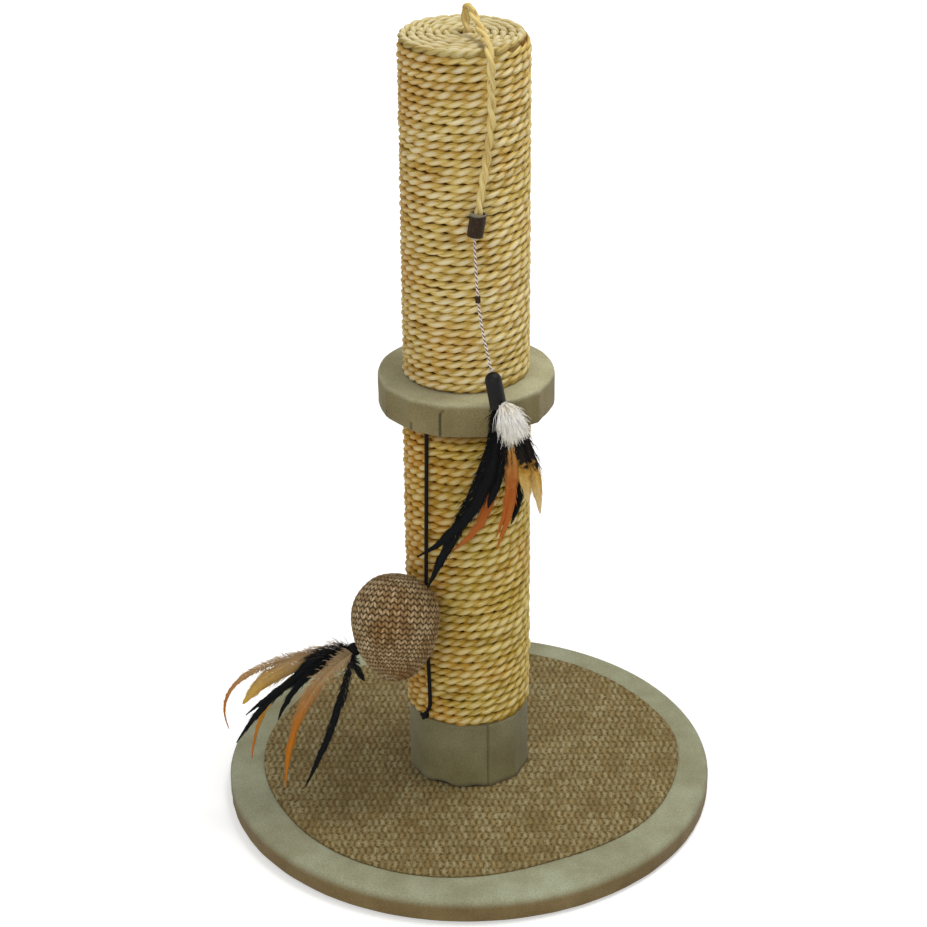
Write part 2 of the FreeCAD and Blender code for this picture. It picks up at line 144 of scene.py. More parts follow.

# %% [markdown]
# ### Brushed suede cloth
#
# The board, the collar and the foot are covered in polyester suede: a short brushed nap, no gloss, and a soft
# pale bloom at grazing angles, which is sheen. The flanks are coloured darker and browner than the flat sage
# tops, as painted shade on the sides that the light from above misses. That change follows the height on the
# piece. A number kept on each point, called fold_shade, is the dark line at the bottom of a fold or a seam.

# %% Brushed polyester suede
def suede(name, crown, flank, low, high):
    """Suede that goes from its flank colour at the height low to its crown colour at high; the darker flank
    colour is painted shade.
    """
    # Brushed polyester: very rough, weak reflection, sheen from the standing fibres.
    material, tree, shader = finish(name, {
        "Roughness": 0.93, "Specular IOR Level": 0.12, "Sheen Weight": 0.1, "Sheen Roughness": 0.55})
    place = add(tree, "TexCoord").outputs["Object"]
    height = add(tree, "SeparateXYZ", [place]).outputs["Z"]
    rise = add(tree, "MapRange", {"Value": height, "From Min": low, "From Max": high},
               interpolation_type="SMOOTHSTEP")
    patches = add(tree, "TexNoise", {"Vector": place, "Scale": 1 / (32 * mm), "Detail": 4.0})
    fibres = add(tree, "TexNoise", {"Vector": place, "Scale": 1 / (0.8 * mm), "Detail": 3.0})
    # Painted shade: below the height low the suede takes the darker, browner flank colour.
    base = add(tree, "Mix", {0: rise, 6: ink(flank), 7: ink(crown)}, data_type="RGBA")
    clouded = shaded(tree, base, patches, [(0.3, "#DAD3C6"), (0.7, "#FFFFFF")])
    brushed = shaded(tree, clouded, fibres, [(0.3, "#D5D2CA"), (0.62, "#FFFFFF")])
    shade = add(tree, "Attribute", attribute_name="fold_shade").outputs["Fac"]
    folded = add(tree, "Mix", {0: shade, 6: brushed, 7: ink("#2B2519")}, data_type="RGBA")
    bump = add(tree, "Bump", {"Height": fibres, "Strength": 0.25, "Distance": 0.3 * mm})
    fill(shader, {"Base Color": folded, "Normal": bump})
    return material


base_suede = suede("brushed_suede_base", "#A9AC91", "#89764F", 13 * mm, 20.5 * mm)
collar_suede = suede("brushed_suede_collar", "#BAB795", "#948962", 356 * mm, 360.4 * mm)
sleeve_suede = suede("brushed_suede_foot", "#8C8868", "#89845F", 24 * mm, 79 * mm)
liner_felt = suede("spunbond_liner", "#3A3935", "#34332F", 0.0, 1 * mm)
print("suede finishes:", base_suede.name, collar_suede.name, sleeve_suede.name, liner_felt.name)

# %% [markdown]
# ### Twisted seagrass
#
# The rope is dried seagrass, twisted by hand in two strands. Every strand is a bundle of flat blades, so its
# colour runs in streaks along it, from pale straw to olive, with a red or brown blade here and there. The
# streaks follow the strand, so they read a UV map in metres: along the strand, and round it. A number kept
# on each point, called proud, says how far out of the winding it stands: the deep places get a painted brown
# shade, and the crests a painted pale highlight. Amber stains lie in patches and grow towards the left side,
# where the amber is also painted warm bounce light. The lower rope has a darker finish, with painted shade up
# under the collar, and the top coil has a paler one.

# %% Twisted seagrass
def streaked(tree, length, width, detail, start=(0.0, 0.0, 0.0)):
    """A noise drawn out along a strand, with features of a length and a width in mm."""
    along = add(tree, "UVMap", uv_map="UVMap")
    scaled = add(tree, "Mapping", {
        0: along, "Location": start, "Scale": (1 / (length * mm), 1 / (width * mm), 1.0)})
    return add(tree, "TexNoise", {"Vector": scaled, "Scale": 1.0, "Detail": detail})


def seagrass(name, straws, stain, collar_shade_height=1000.0):
    """Dried grass blades: satin, streaked along the strand, stained amber by the share stain, more towards the
    left side where the amber is also painted warm bounce light, and darkened to brown by painted shade from 17
    mm below a height in mm upwards, up under the collar."""
    # Waxy dry leaf: IOR about 1.45, satin, with fine ridges along the blade.
    material, tree, shader = finish(name, {"Roughness": 0.6, "IOR": 1.45, "Specular IOR Level": 0.06})
    place = add(tree, "TexCoord").outputs["Object"]
    proud = add(tree, "Attribute", attribute_name="proud").outputs["Fac"]
    blades = streaked(tree, 45, 1.5, 3.0)
    bunches = streaked(tree, 26, 9, 2.0)
    straw = add(tree, "ValToRGB", [blades], straws)
    toned = shaded(tree, straw, bunches, [(0.28, "#C9B98F"), (0.5, "#F4ECD8"), (0.72, "#FFFFFF")])
    # Amber stains in patches from a noise, and more amber towards the left side: that part is painted warm
    # bounce light.
    spread = add(tree, "TexNoise", {"Vector": place, "Scale": 1 / (38 * mm), "Detail": 3.0})
    where = add(tree, "SeparateXYZ", [place])
    left = add(tree, "MapRange", {"Value": where.outputs["X"], "From Min": 10 * mm, "From Max": -50 * mm,
                                  "To Max": 0.6 * stain})
    stained = add(tree, "Math", [spread, left], operation="ADD")
    amber = add(tree, "MapRange", {"Value": stained, "From Min": 0.52, "From Max": 0.85, "To Max": stain})
    stained_and_bounce_lit = add(tree, "Mix", {0: amber, 6: toned, 7: ink("#BE7F2A")}, data_type="RGBA")
    odd = streaked(tree, 17, 5, 1.0, (3.7, 1.3, 0.0))
    rare = add(tree, "MapRange", {"Value": odd, "From Min": 0.74, "From Max": 0.80, "To Max": 0.75})
    flecked = add(tree, "Mix", {0: rare, 6: stained_and_bounce_lit, 7: ink("#7E3B1B")}, data_type="RGBA")
    # Painted highlight: the crests of the strands are mixed towards the palest straw.
    crest_highlight = add(tree, "MapRange", {"Value": proud, "From Min": 0.8, "From Max": 1.02, "To Max": 0.6})
    highlighted = add(tree, "Mix", {0: crest_highlight, 6: flecked, 7: ink(straws[-1][1])}, data_type="RGBA")
    # Painted shade: the deep places between the strands and the turns are darkened to brown, by how proud they
    # stand.
    sunk = shaded(tree, highlighted, proud, [(0.1, "#35250C"), (0.4, "#94743E"), (0.7, "#FFFFFF")])
    # Painted shade: the rope darkens to brown up under the collar, where the collar's shadow falls.
    under = add(tree, "MapRange", {"Value": where.outputs["Z"], "From Min": (collar_shade_height - 17) * mm,
                                   "From Max": (collar_shade_height - 8) * mm, "To Max": 0.75})
    collar_shaded = add(tree, "Mix", {0: under, 6: sunk, 7: ink("#6E3F17")}, data_type="RGBA")
    ribs = streaked(tree, 14, 0.55, 2.0)
    bump = add(tree, "Bump", {"Height": ribs, "Strength": 0.55, "Distance": 0.5 * mm})
    fill(shader, {"Base Color": collar_shaded, "Normal": bump})
    return material


post_grass = seagrass("twisted_seagrass", [
    (0.22, "#997E34"), (0.42, "#CCB05C"), (0.58, "#DDC882"), (0.78, "#F4ECCA")], 0.42)
lower_grass = seagrass("twisted_seagrass_dark", [
    (0.22, "#846A20"), (0.42, "#B39838"), (0.58, "#C9B15E"), (0.78, "#E9DDA8")], 0.6, 334.0)
coil_grass = seagrass("twisted_seagrass_top", [
    (0.22, "#8F7D42"), (0.42, "#B7A668"), (0.58, "#C8BB88"), (0.78, "#DCD3B2")], 0.12)
toy_grass = seagrass("twisted_seagrass_pale", [
    (0.22, "#B0944A"), (0.42, "#D8BE70"), (0.58, "#E6D392"), (0.78, "#F3E8BE")], 0.12)
print("rope finishes:", post_grass.name, lower_grass.name, coil_grass.name, toy_grass.name)

# %% [markdown]
# ## Cords, first of all
#
# A rope is modelled as what it is: strands that twist about a line. The line is a smooth NURBS curve whose
# control points are the route that the construction has, and its points are read back from Blender. Two strands
# then turn about it, right-handed like the letter Z. A curve with a round bevel makes the tubes, and
# the result is kept as a mesh with its UV map scaled to metres.

# %% Lines, strands and tubes
def even(line):
    """A run that has its full thickness all along a line."""
    return [(place, 1.0) for place in line]


def drawn(name, kind, runs, **settings):
    """The mesh of a curve with a spline for each run of (place, share of full thickness)."""
    curve = bpy.data.curves.new(name, "CURVE")
    curve.dimensions = "3D"
    for setting, value in settings.items():
        setattr(curve, setting, value)
    for run in runs:
        spline = curve.splines.new(kind)
        spline.points.add(len(run) - 1)
        for point, (place, share) in zip(spline.points, run):
            point.co = (*place, 1.0)
            point.radius = share
        spline.order_u = 3
        spline.use_endpoint_u = True
    carrier = bpy.data.objects.new(name, curve)
    mesh = bpy.data.meshes.new_from_object(carrier)
    bpy.data.objects.remove(carrier)
    return mesh


def read_line(route, steps):
    """The points of a smooth curve that has the route as its control points."""
    read = drawn("route", "NURBS", [even(route)], resolution_u=steps)
    line = [vertex.co.copy() for vertex in read.vertices]
    bpy.data.meshes.remove(read)
    return line


def length_of(line):
    """How long a line of points is."""
    return sum((b - a).length for a, b in zip(line, line[1:]))


def strands(line, facing, reach, lay, seed, unrest=0.0):
    """Two strands, each a run of (place, share of full thickness), a turn in every lay of length."""
    runs = [[], []]
    gone = 0.0
    for i, place in enumerate(line):
        before = line[max(i - 1, 0)]
        after = line[min(i + 1, len(line) - 1)]
        gone += (place - before).length
        ahead_here = (after - before).normalized()
        side = ahead_here.cross(facing(place)).normalized()
        out = side.cross(ahead_here)
        drift = noise.noise((gone / 0.06, seed, 0.3)) * unrest
        wander = out * noise.noise((gone / 0.05, seed, 1.7)) + side * noise.noise((gone / 0.045, seed, 5.1))
        for n, run in enumerate(runs):
            turn = 2 * math.pi * (gone / lay) + n * math.pi + drift * 3.0
            swell = 1.0 + noise.noise((gone / 0.02, seed + 9.0 * n, 2.9)) * 0.22 * unrest
            offset = out * math.cos(turn) - side * math.sin(turn)
            run.append((place + offset * reach * swell + wander * unrest * 0.35 * mm, swell))
    return runs


def tubes(name, runs, thickness, sides=8):
    """One mesh of round tubes, with its UV map in metres along and round the tubes."""
    mesh = drawn(name, "POLY", runs, bevel_depth=thickness / 2, bevel_resolution=sides // 2 - 2,
                 use_fill_caps=True)
    bm = bmesh.new()
    bm.from_mesh(mesh)
    bmesh.ops.remove_doubles(bm, verts=bm.verts, dist=1e-7)
    bm.to_mesh(mesh)
    bm.free()
    spots = numpy.empty(len(mesh.loops) * 2, numpy.float32)
    layer = mesh.uv_layers["UVMap"].data
    layer.foreach_get("uv", spots)
    spots[0::2] *= length_of([place for place, share in runs[0]])
    spots[1::2] *= math.pi * thickness
    layer.foreach_set("uv", spots)
    return mesh


def mark(mesh, name, number):
    """Keeps a number for each point of a mesh, as a finish can read it."""
    attribute = mesh.attributes.new(name, "FLOAT", "POINT")
    attribute.data.foreach_set("value", [number(vertex.co) for vertex in mesh.vertices])


def meshed(name, bm):
    """Makes a mesh of a bmesh that is done with."""
    mesh = bpy.data.meshes.new(name)
    bm.to_mesh(mesh)
    bm.free()
    return mesh


def show(name, mesh, material, body, slot, *stands_for):
    """Puts a finished mesh in the scene, on its body, in place of the solids that it stands for."""
    thing = bpy.data.objects.new(name, mesh)
    scene.collection.objects.link(thing)
    mesh.materials.clear()
    mesh.materials.append(material)
    mesh.shade_smooth()
    if body:
        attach(thing, body)
    if stands_for:
        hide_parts(*stands_for)
    print(name, len(mesh.polygons), "faces")
    return thing


# %% [markdown]
# ### The toy rope
#
# A length of the same rope comes up out of the middle of the coil, bends over in a tight bight, crosses the
# coil, goes over its edge and hangs down the front to a dark ferrule. The photograph shows it from end to
# end, about 230 mm. It is knotted under the top plug. Its strands are pulled less flat than the wound
# rope, and it makes a full twist in about 26 mm.

# %% The toy rope
toy_route = [
    (0.0026, 0.0030, 0.5860), (0.0026, 0.0030, 0.6000), (0.0024, 0.0032, 0.6130), (0.0010, 0.0050, 0.6240),
    (0.0016, 0.0005, 0.6335), (0.0052, -0.0095, 0.6320), (0.0093, -0.0185, 0.6255),
    (0.0130, -0.0310, 0.6196), (0.0158, -0.0450, 0.6190), (0.0180, -0.0545, 0.6095),
    (0.0184, -0.0515, 0.5920), (0.0186, -0.0486, 0.5760), (0.0180, -0.0486, 0.5600),
    (0.0152, -0.0494, 0.5400), (0.0120, -0.0512, 0.5200), (0.0101, -0.0525, 0.5060), (0.0075, -0.0530, 0.4900)]
toy_line = read_line(toy_route, 12)
toy_runs = strands(toy_line, lambda place: level, 1.5 * mm, 26 * mm, 3.0, 0.35)
toy_mesh = tubes("toy_rope_twist", toy_runs, 3.5 * mm, 10)
mark(toy_mesh, "proud", lambda place: 0.85)
toy_rope = show("toy_rope_twist", toy_mesh, toy_grass, "post", "grass_rope", "toy_rope")
print("toy rope length", round(length_of(toy_line), 4))

# %% [markdown]
# ### The lure cord
#
# A thin silvery cord of two threads leaves the ferrule and hangs to the rubber cap, past one small bead. Both
# ends are knotted, and the knots are where it swings and where the cap flips. The photograph shows all of it.

# %% The lure cord and its finish
# Metallised polyester thread: a silky gleam, half of it metal.
silver_cord, tree, shader = finish("metallised_polyester_cord", {
    "Roughness": 0.38, "IOR": 1.5, "Specular IOR Level": 0.6, "Metallic": 0.25})
threads = streaked(tree, 3.0, 0.4, 2.0)
silver = add(tree, "ValToRGB", [threads], [(0.3, "#B7A49C"), (0.5, "#E0D2C8"), (0.7, "#F8F2EC")])
proud = add(tree, "Attribute", attribute_name="proud").outputs["Fac"]
# Painted shade: where the two threads dip into each other the cord is darkened to a dusky brown.
crests = add(tree, "MapRange", {"Value": proud, "From Min": 0.66, "From Max": 0.92})
twisted = add(tree, "Mix", {0: crests, 6: ink("#6B4A3C"), 7: silver}, data_type="RGBA")
fill(shader, {"Base Color": twisted})
lure_route = [
    (0.0063, -0.05325, 0.4825), (0.0070, -0.0560, 0.4610), (0.0084, -0.0594, 0.4395),
    (0.0116, -0.0632, 0.4150), (0.0176, -0.0669, 0.3889)]
lure_line = read_line(lure_route, 40)
lure_runs = strands(lure_line, lambda place: level, 0.52 * mm, 7 * mm, 5.0)
lure_mesh = tubes("lure_cord_twist", lure_runs, 1.1 * mm, 6)
lure_crest = 1.07 * mm
mark(lure_mesh, "proud", lambda place: min((place - spot).length for spot in lure_line) / lure_crest)
lure_cord = show("lure_cord_twist", lure_mesh, silver_cord, "lure_line", "silver_cord", "lure_cord")
print("lure cord length", round(length_of(lure_line), 4))

# %% [markdown]
# ### The ball's elastic
#
# A round black elastic comes out of the collar, runs down the post through the ball, and is knotted just above
# the foot. The ball can be pulled out, and the elastic follows it. Each half is a plain mesh tube between the
# post and the ball. A braid of fine threads shows as a crossed relief on it.

# %% Braided elastic in two halves
# Polyester braid over rubber: black and dull.
black_elastic, tree, shader = finish("braided_elastic", {"Roughness": 0.72, "Specular IOR Level": 0.1})
along = add(tree, "UVMap", uv_map="UVMap")
weft = add(tree, "Mapping", {0: along, "Rotation": (0.0, 0.0, math.radians(45))})
braid = add(tree, "TexChecker", {0: weft, "Scale": 1 / (0.8 * mm)})
sooty = add(tree, "ValToRGB", [braid.outputs["Fac"]], [(0.0, "#090909"), (1.0, "#1B1A19")])
crossed = add(tree, "Bump", {"Height": braid.outputs["Fac"], "Strength": 0.4, "Distance": 0.2 * mm})
fill(shader, {"Base Color": sooty, "Normal": crossed})
print("cord finishes:", silver_cord.name, black_elastic.name)


def beside_post(degrees, distance, height):
    """A place by its angle from the front, its distance from the post's axis and its height, in mm."""
    turn = math.radians(degrees)
    return Vector((math.sin(turn) * distance, -math.cos(turn) * distance, height)) * mm


elastic_halves = {
    "ball_elastic_upper": [(-36, 49.6, 342), (-36, 49.6, 326), (-36, 53, 206), (-36, 53, 193)],
    "ball_elastic_lower": [(-36, 53, 171), (-36, 53, 158), (-36, 49.9, 99), (-36.8, 50.2, 92), (-41, 51, 85.5)]}
for name, route in elastic_halves.items():
    line = read_line([beside_post(*place) for place in route], 16)
    mesh = tubes(name, [even(line)], 3 * mm, 10)
    half = show(name, mesh, black_elastic, None, "black_elastic", "ball_cord")
    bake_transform(half)

# %% [markdown]
# ## The wound rope
#
# Each part of the post is wound in two lengths of rope, and the top is closed by a flat coil. The winding is
# a helix, so its control points go round the post, sixteen to a turn, a little outside the rope's line because
# the smooth curve runs inside them. The turns touch, as they do on the real post, and the rope wanders
# slightly, as hand winding does. The lower rope is the coarser of the two.

# %% The four windings
turn_points = 16
outside = 1 / math.cos(math.pi / turn_points)
tube_radius, glue, nestle = 41.0, 0.05, 0.35  # mm; the rope nestles a little way into the soft paper tube
run_out = 0.9  # the part of a turn in which an end of the rope goes level


def outward(place):
    """The direction from the post's axis to a place, level."""
    return Vector((place.x, place.y, 0.0)).normalized()


def eased(share):
    """A share from 0 to 1 that starts and stops gently."""
    share = min(1.0, max(0.0, share))
    return share * share * (3 - 2 * share)


def wind(name, grass, bottom, top, rope, pitch, first, last, lead, tail, lay, seed):
    """A length of rope wound on the post. Its lead and tail are the parts of a turn that run out level."""
    radius = tube_radius + glue + rope / 2 - nestle
    turns = last + tail - first + lead
    count = round(turns * turn_points)
    route = []
    for i in range(count + 1):
        turn = first - lead + turns * i / count
        angle = 2 * math.pi * turn
        tucked = 1.6 * (eased((first - turn) / run_out) + eased((turn - last) / run_out))
        rise = bottom + rope / 2 + glue + pitch * turn
        rise = min(max(rise, bottom + rope * 0.42), top - rope * 0.42)
        away = (radius - tucked) * outside
        route.append(Vector((-math.cos(angle) * away, -math.sin(angle) * away, rise)) * mm)
    line = read_line(route, 8)
    runs = strands(line, outward, pitch * 0.19 * mm, lay, seed, 1.0)
    mesh = tubes(name + "_twist", runs, pitch * 0.8 * mm)
    mark(mesh, "proud", lambda place: (math.hypot(place.x, place.y) - tube_radius * mm) / (pitch * mm))
    show(name + "_twist", mesh, grass, "post", "grass_rope", name)


for part, grass, bottom, top, rope, pitch, turns, lay in (
        ("lower", lower_grass, 79.3, 334.0, 6.409, 6.859, 18, 19.3 * mm),
        ("upper", post_grass, 360.6, 609.6, 5.590, 6.040, 20, 21.5 * mm)):
    butt = (rope + 0.6) / (2 * math.pi * (tube_radius + glue + rope / 2))
    meeting = 2 * butt + turns
    wind(part + "_rope_bottom", grass, bottom, top, rope, pitch, butt, meeting, run_out, 0.0, lay, turns + 0.5)
    wind(part + "_rope_top", grass, bottom, top, rope, pitch, meeting, meeting + butt + turns, 0.0, run_out,
         lay, turns + 7.5)

# %% The flat coil on top
coil_turns, coil_outer, coil_inner, coil_height = 6.5, 45.6, 6.0, 611.6
coil_count = round(coil_turns * turn_points)
coil_route = []
for i in range(coil_count + 1):
    share = i / coil_count
    angle = 2 * math.pi * coil_turns * share
    dip = 1.0 - eased(coil_turns * share / 0.22)
    radius = (coil_outer + (coil_inner - coil_outer) * share - 5.0 * dip) * outside
    height = coil_height - 3.4 * dip
    coil_route.append(Vector((math.cos(angle) * radius, -math.sin(angle) * radius, height)) * mm)
straight_up = Vector((0.0, 0.0, 1.0))
coil_runs = strands(read_line(coil_route, 8), lambda place: straight_up, 1.1 * mm, 21.5 * mm, 31.0, 1.0)
coil_mesh = tubes("top_coil_twist", coil_runs, 4.9 * mm)
mark(coil_mesh, "proud", lambda place: max(
    0.4, (place.z - 608.6 * mm) / (6.2 * mm), (place.xy.length - 43 * mm) / (5 * mm)))
show("top_coil_twist", coil_mesh, coil_grass, "post", "grass_rope", "top_coil")

# %% [markdown]
# ## The cloth covers
#
# The covers are cloth stretched over round boards, so each is a turned shape. One vertex is drawn along the
# profile with the extrude and spin operators, the profile is spun about the post's axis, and the points are
# then moved a little for folds, laps and puckers. A Solidify modifier gives the cloth its thickness inwards.

# %% Draw a profile and spin it
def spun(start, moves, around):
    """A turned sheet. A move is a run to (radius, height, steps), or an arc (centre, degrees, steps)."""
    bm = bmesh.new()
    tip = bm.verts.new((start[0] * mm, 0.0, start[1] * mm))
    for first, second, steps in moves:
        if isinstance(first, tuple):
            arc = bmesh.ops.spin(bm, geom=[tip], cent=(first[0] * mm, 0.0, first[1] * mm), axis=(0, 1, 0),
                                 angle=math.radians(second), steps=steps)
            tip = [part for part in arc["geom_last"] if isinstance(part, bmesh.types.BMVert)][0]
            continue
        goal = Vector((first * mm, 0.0, second * mm))
        for left in range(steps, 0, -1):
            fresh = bmesh.ops.extrude_vert_indiv(bm, verts=[tip])["verts"][0]
            fresh.co = tip.co + (goal - tip.co) / left
            tip = fresh
    bmesh.ops.spin(bm, geom=bm.verts[:] + bm.edges[:], cent=(0, 0, 0), axis=(0, 0, 1),
                   angle=2 * math.pi, steps=around, use_merge=True)
    bmesh.ops.remove_doubles(bm, verts=bm.verts, dist=1e-6)
    bmesh.ops.recalc_face_normals(bm, faces=bm.faces)
    return bm


def about(place):
    """Degrees round the post from the front, to the right, and the distance from its axis in mm."""
    return math.degrees(math.atan2(place.x, -place.y)), math.hypot(place.x, place.y) / mm


def reach_out(vertex, shift):
    """Moves a point away from the post's axis by a shift in mm."""
    vertex.co += Vector((vertex.co.x, vertex.co.y, 0.0)).normalized() * shift * mm


def cloth(name, bm, material, slot, thickness, node, offset=-1.0):
    """Shows a sheet as cloth of a thickness, on the post. Its offset is -1 for inwards and 1 for outwards."""
    sheet = show(name, meshed(name, bm), material, "post", slot, node)
    wall = sheet.modifiers.new("thickness", "SOLIDIFY")
    wall.thickness = thickness * mm
    wall.offset = offset
    return sheet


# %% [markdown]
# ### The base cover and its liner
#
# One round of suede goes over the board and is turned under, where a dark spunbond liner covers its raw edge.
# Stretched cloth puckers where it is pulled round the rim, most of all along the lower edge.

# %% Base cover and liner
bm = spun((160, 1.0), [(186, 1.0, 5), ((186, 5.0), -90, 6), (190, 15.4, 6), ((184, 15.4), -90, 8),
                       (150, 21.4, 8), (44, 21.4, 10)], 360)
for vertex in bm.verts:
    turn, distance = about(vertex.co)
    height = vertex.co.z / mm
    if distance > 175 and height > 1.2:
        low = max(0.0, 1.0 - abs(height - 5.0) / 9.0)
        ring = Vector((math.sin(math.radians(turn)), math.cos(math.radians(turn)), height * 0.02))
        reach_out(vertex, -0.9 * low * abs(noise.noise(ring * 9.0)) - 0.35 * abs(noise.noise(ring * 3.0)))
base_cloth = cloth("base_cover_cloth", bm, base_suede, "suede_cloth", 1.2, "base_cover")

bm = bmesh.new()
bmesh.ops.create_circle(bm, cap_ends=True, radius=174 * mm, segments=180)
bmesh.ops.inset_region(bm, faces=bm.faces[:], thickness=3 * mm)
liner = cloth("base_liner_cloth", bm, liner_felt, "liner_cloth", 1.0, "base_liner", 1.0)

# %% [markdown]
# ### The collar cover
#
# The collar is a thick disc wrapped in a band of suede that was not cut to a curve, so its side lies in flat
# facets with an upright fold between them. The folds are where the photograph shows them in front, and
# spaced like them behind. A facet is the flat chord between two folds, and it is rounder behind, where the
# outline in the photograph is smooth.

# %% Collar cover
collar_folds = [-166, -137, -112, -88, -63, -38, -17, 15, 53, 84, 118, 152]
# A deep fold: its angle, the heights it runs between, and how dark it is.
deep_folds = [(-88, 334, 345, 0.5), (-63, 334, 343, 0.6), (-38, 334, 343, 0.75), (-17, 334, 357, 0.95),
              (84, 336, 356, 0.6), (152, 334, 352, 0.8)]
core_radius, collar_radius, corner_radius, hub = 64.0, 65.0, 65.9, 52.0
bm = spun((43, 334), [(62.4, 334, 6), ((62.4, 336.6), -90, 6), (65, 358.4, 12), ((62.8, 358.4), -90, 6),
                      (43, 360.6, 8)], 480)
fold_shade = bm.verts.layers.float.new("fold_shade")
for vertex in bm.verts:
    turn, distance = about(vertex.co)
    if distance < hub:
        continue
    last = max([fold for fold in collar_folds if fold <= turn], default=collar_folds[-1] - 360)
    following = min([fold for fold in collar_folds if fold > turn], default=collar_folds[0] + 360)
    half = math.radians(following - last) / 2
    chord = math.cos(half) / math.cos(math.radians(turn - last) - half)
    flat = (distance - hub) / (collar_radius - hub)
    facet = max(core_radius, corner_radius * chord)
    facet += (collar_radius - facet) * 0.8 * eased((abs(turn) - 58) / 30)
    height = vertex.co.z / mm
    leaning = turn - 2.6 * eased((height - 352) / 5)
    sunk = max(dark * eased((height - foot) / 2 + 1) * eased((head - height) / 3)
               * math.exp(-(((leaning - fold + 180) % 360 - 180) / 0.7) ** 2)
               for fold, foot, head, dark in deep_folds)
    ripple = noise.noise((turn * 0.09, vertex.co.z * 60, 2.0)) * 0.35
    reach_out(vertex, (facet - collar_radius - 1.6 * sunk + ripple) * flat)
    vertex[fold_shade] = sunk if distance > 60 else 0.0
collar = cloth("collar_cover_cloth", bm, collar_suede, "suede_cloth", 1.2, "collar_cover")

# %% [markdown]
# ### The foot sleeve
#
# A strip of suede is wrapped round the foot of the post by hand, so it lies in flat creases, deeper towards its
# lower edge. Its end laps over by about 30 mm and leaves an upright seam in front, on the right. The lower edge
# is cut by hand too, and lifts off the mat a little.

# %% Foot sleeve
sleeve_foot, seam_turn = 23.7, 18.6
bm = spun((41.6, 79.2), [(44.9, 79.3, 3), ((44.9, 77.9), 90, 4), (46.3, sleeve_foot, 16)], 480)
fold_shade = bm.verts.layers.float.new("fold_shade")
sleeve_folds = [-168, -137, -104, -74, -43, -12, 18.4, 49, 82, 115, 146]
for vertex in bm.verts:
    turn, distance = about(vertex.co)
    if distance < 45.5:
        continue
    low = max(0.0, 1.0 - (vertex.co.z / mm - sleeve_foot) / 14)
    lap = eased((turn - seam_turn - 0.2) / 0.7) * eased((60 - turn) / 14)
    seam = math.exp(-((turn - seam_turn) / 0.9) ** 2)
    crease = max(0.0, 1.0 - min(abs((turn - fold + 180) % 360 - 180) for fold in sleeve_folds) / 11)
    ring = (math.sin(math.radians(turn)) * 2.2, math.cos(math.radians(turn)) * 2.2, vertex.co.z * 18)
    reach_out(vertex, 0.9 * lap - 0.8 * seam + (0.5 + 0.9 * low) * crease + 0.45 * noise.noise(ring) - 0.2)
    vertex[fold_shade] = 0.3 * seam
    lift = 2.4 * math.exp(-((turn + 26) / 11) ** 2) + 1.5 * math.exp(-((turn - 7) / 8) ** 2)
    vertex.co.z += lift * low * low * mm
sleeve = cloth("foot_sleeve_cloth", bm, sleeve_suede, "suede_cloth", 1.2, "foot_sleeve")

# %% [markdown]
# ## The woven mat and the ball
#
# The mat and the ball's cover are coarse woven cloth of brown yarns. On the mat every row of yarns is set half
# a yarn aside from the row before. On the ball the yarns lean one way in one row and the other way in the next,
# a herringbone. The relief is real geometry here. One function gives the height of the cloth at a column and a
# row, and the finish repeats the same sums in nodes for the colour of each yarn. On the mat, loose hairs bridge
# the dark gaps here and there.

# %% The weave, as a height and as a finish
def woven_height(column, row, lean, steep, tucked):
    """Height of the cloth from 0 to 1: yarns side by side in columns, moved to and fro in rows."""
    phase = row + (0.0 if steep == 1 else 0.5)
    swing = min(1.0, max(0.0, (0.5 - abs((phase / 2 % 1.0) * 2.0 - 1.0)) * steep + 0.5))
    ridge = max(0.0, math.sin(math.pi * ((column + lean * swing) % 1.0)))
    tuck = abs(math.sin(math.pi * row)) ** 0.6
    return ridge ** 0.8 * (1.0 - tucked + tucked * tuck)


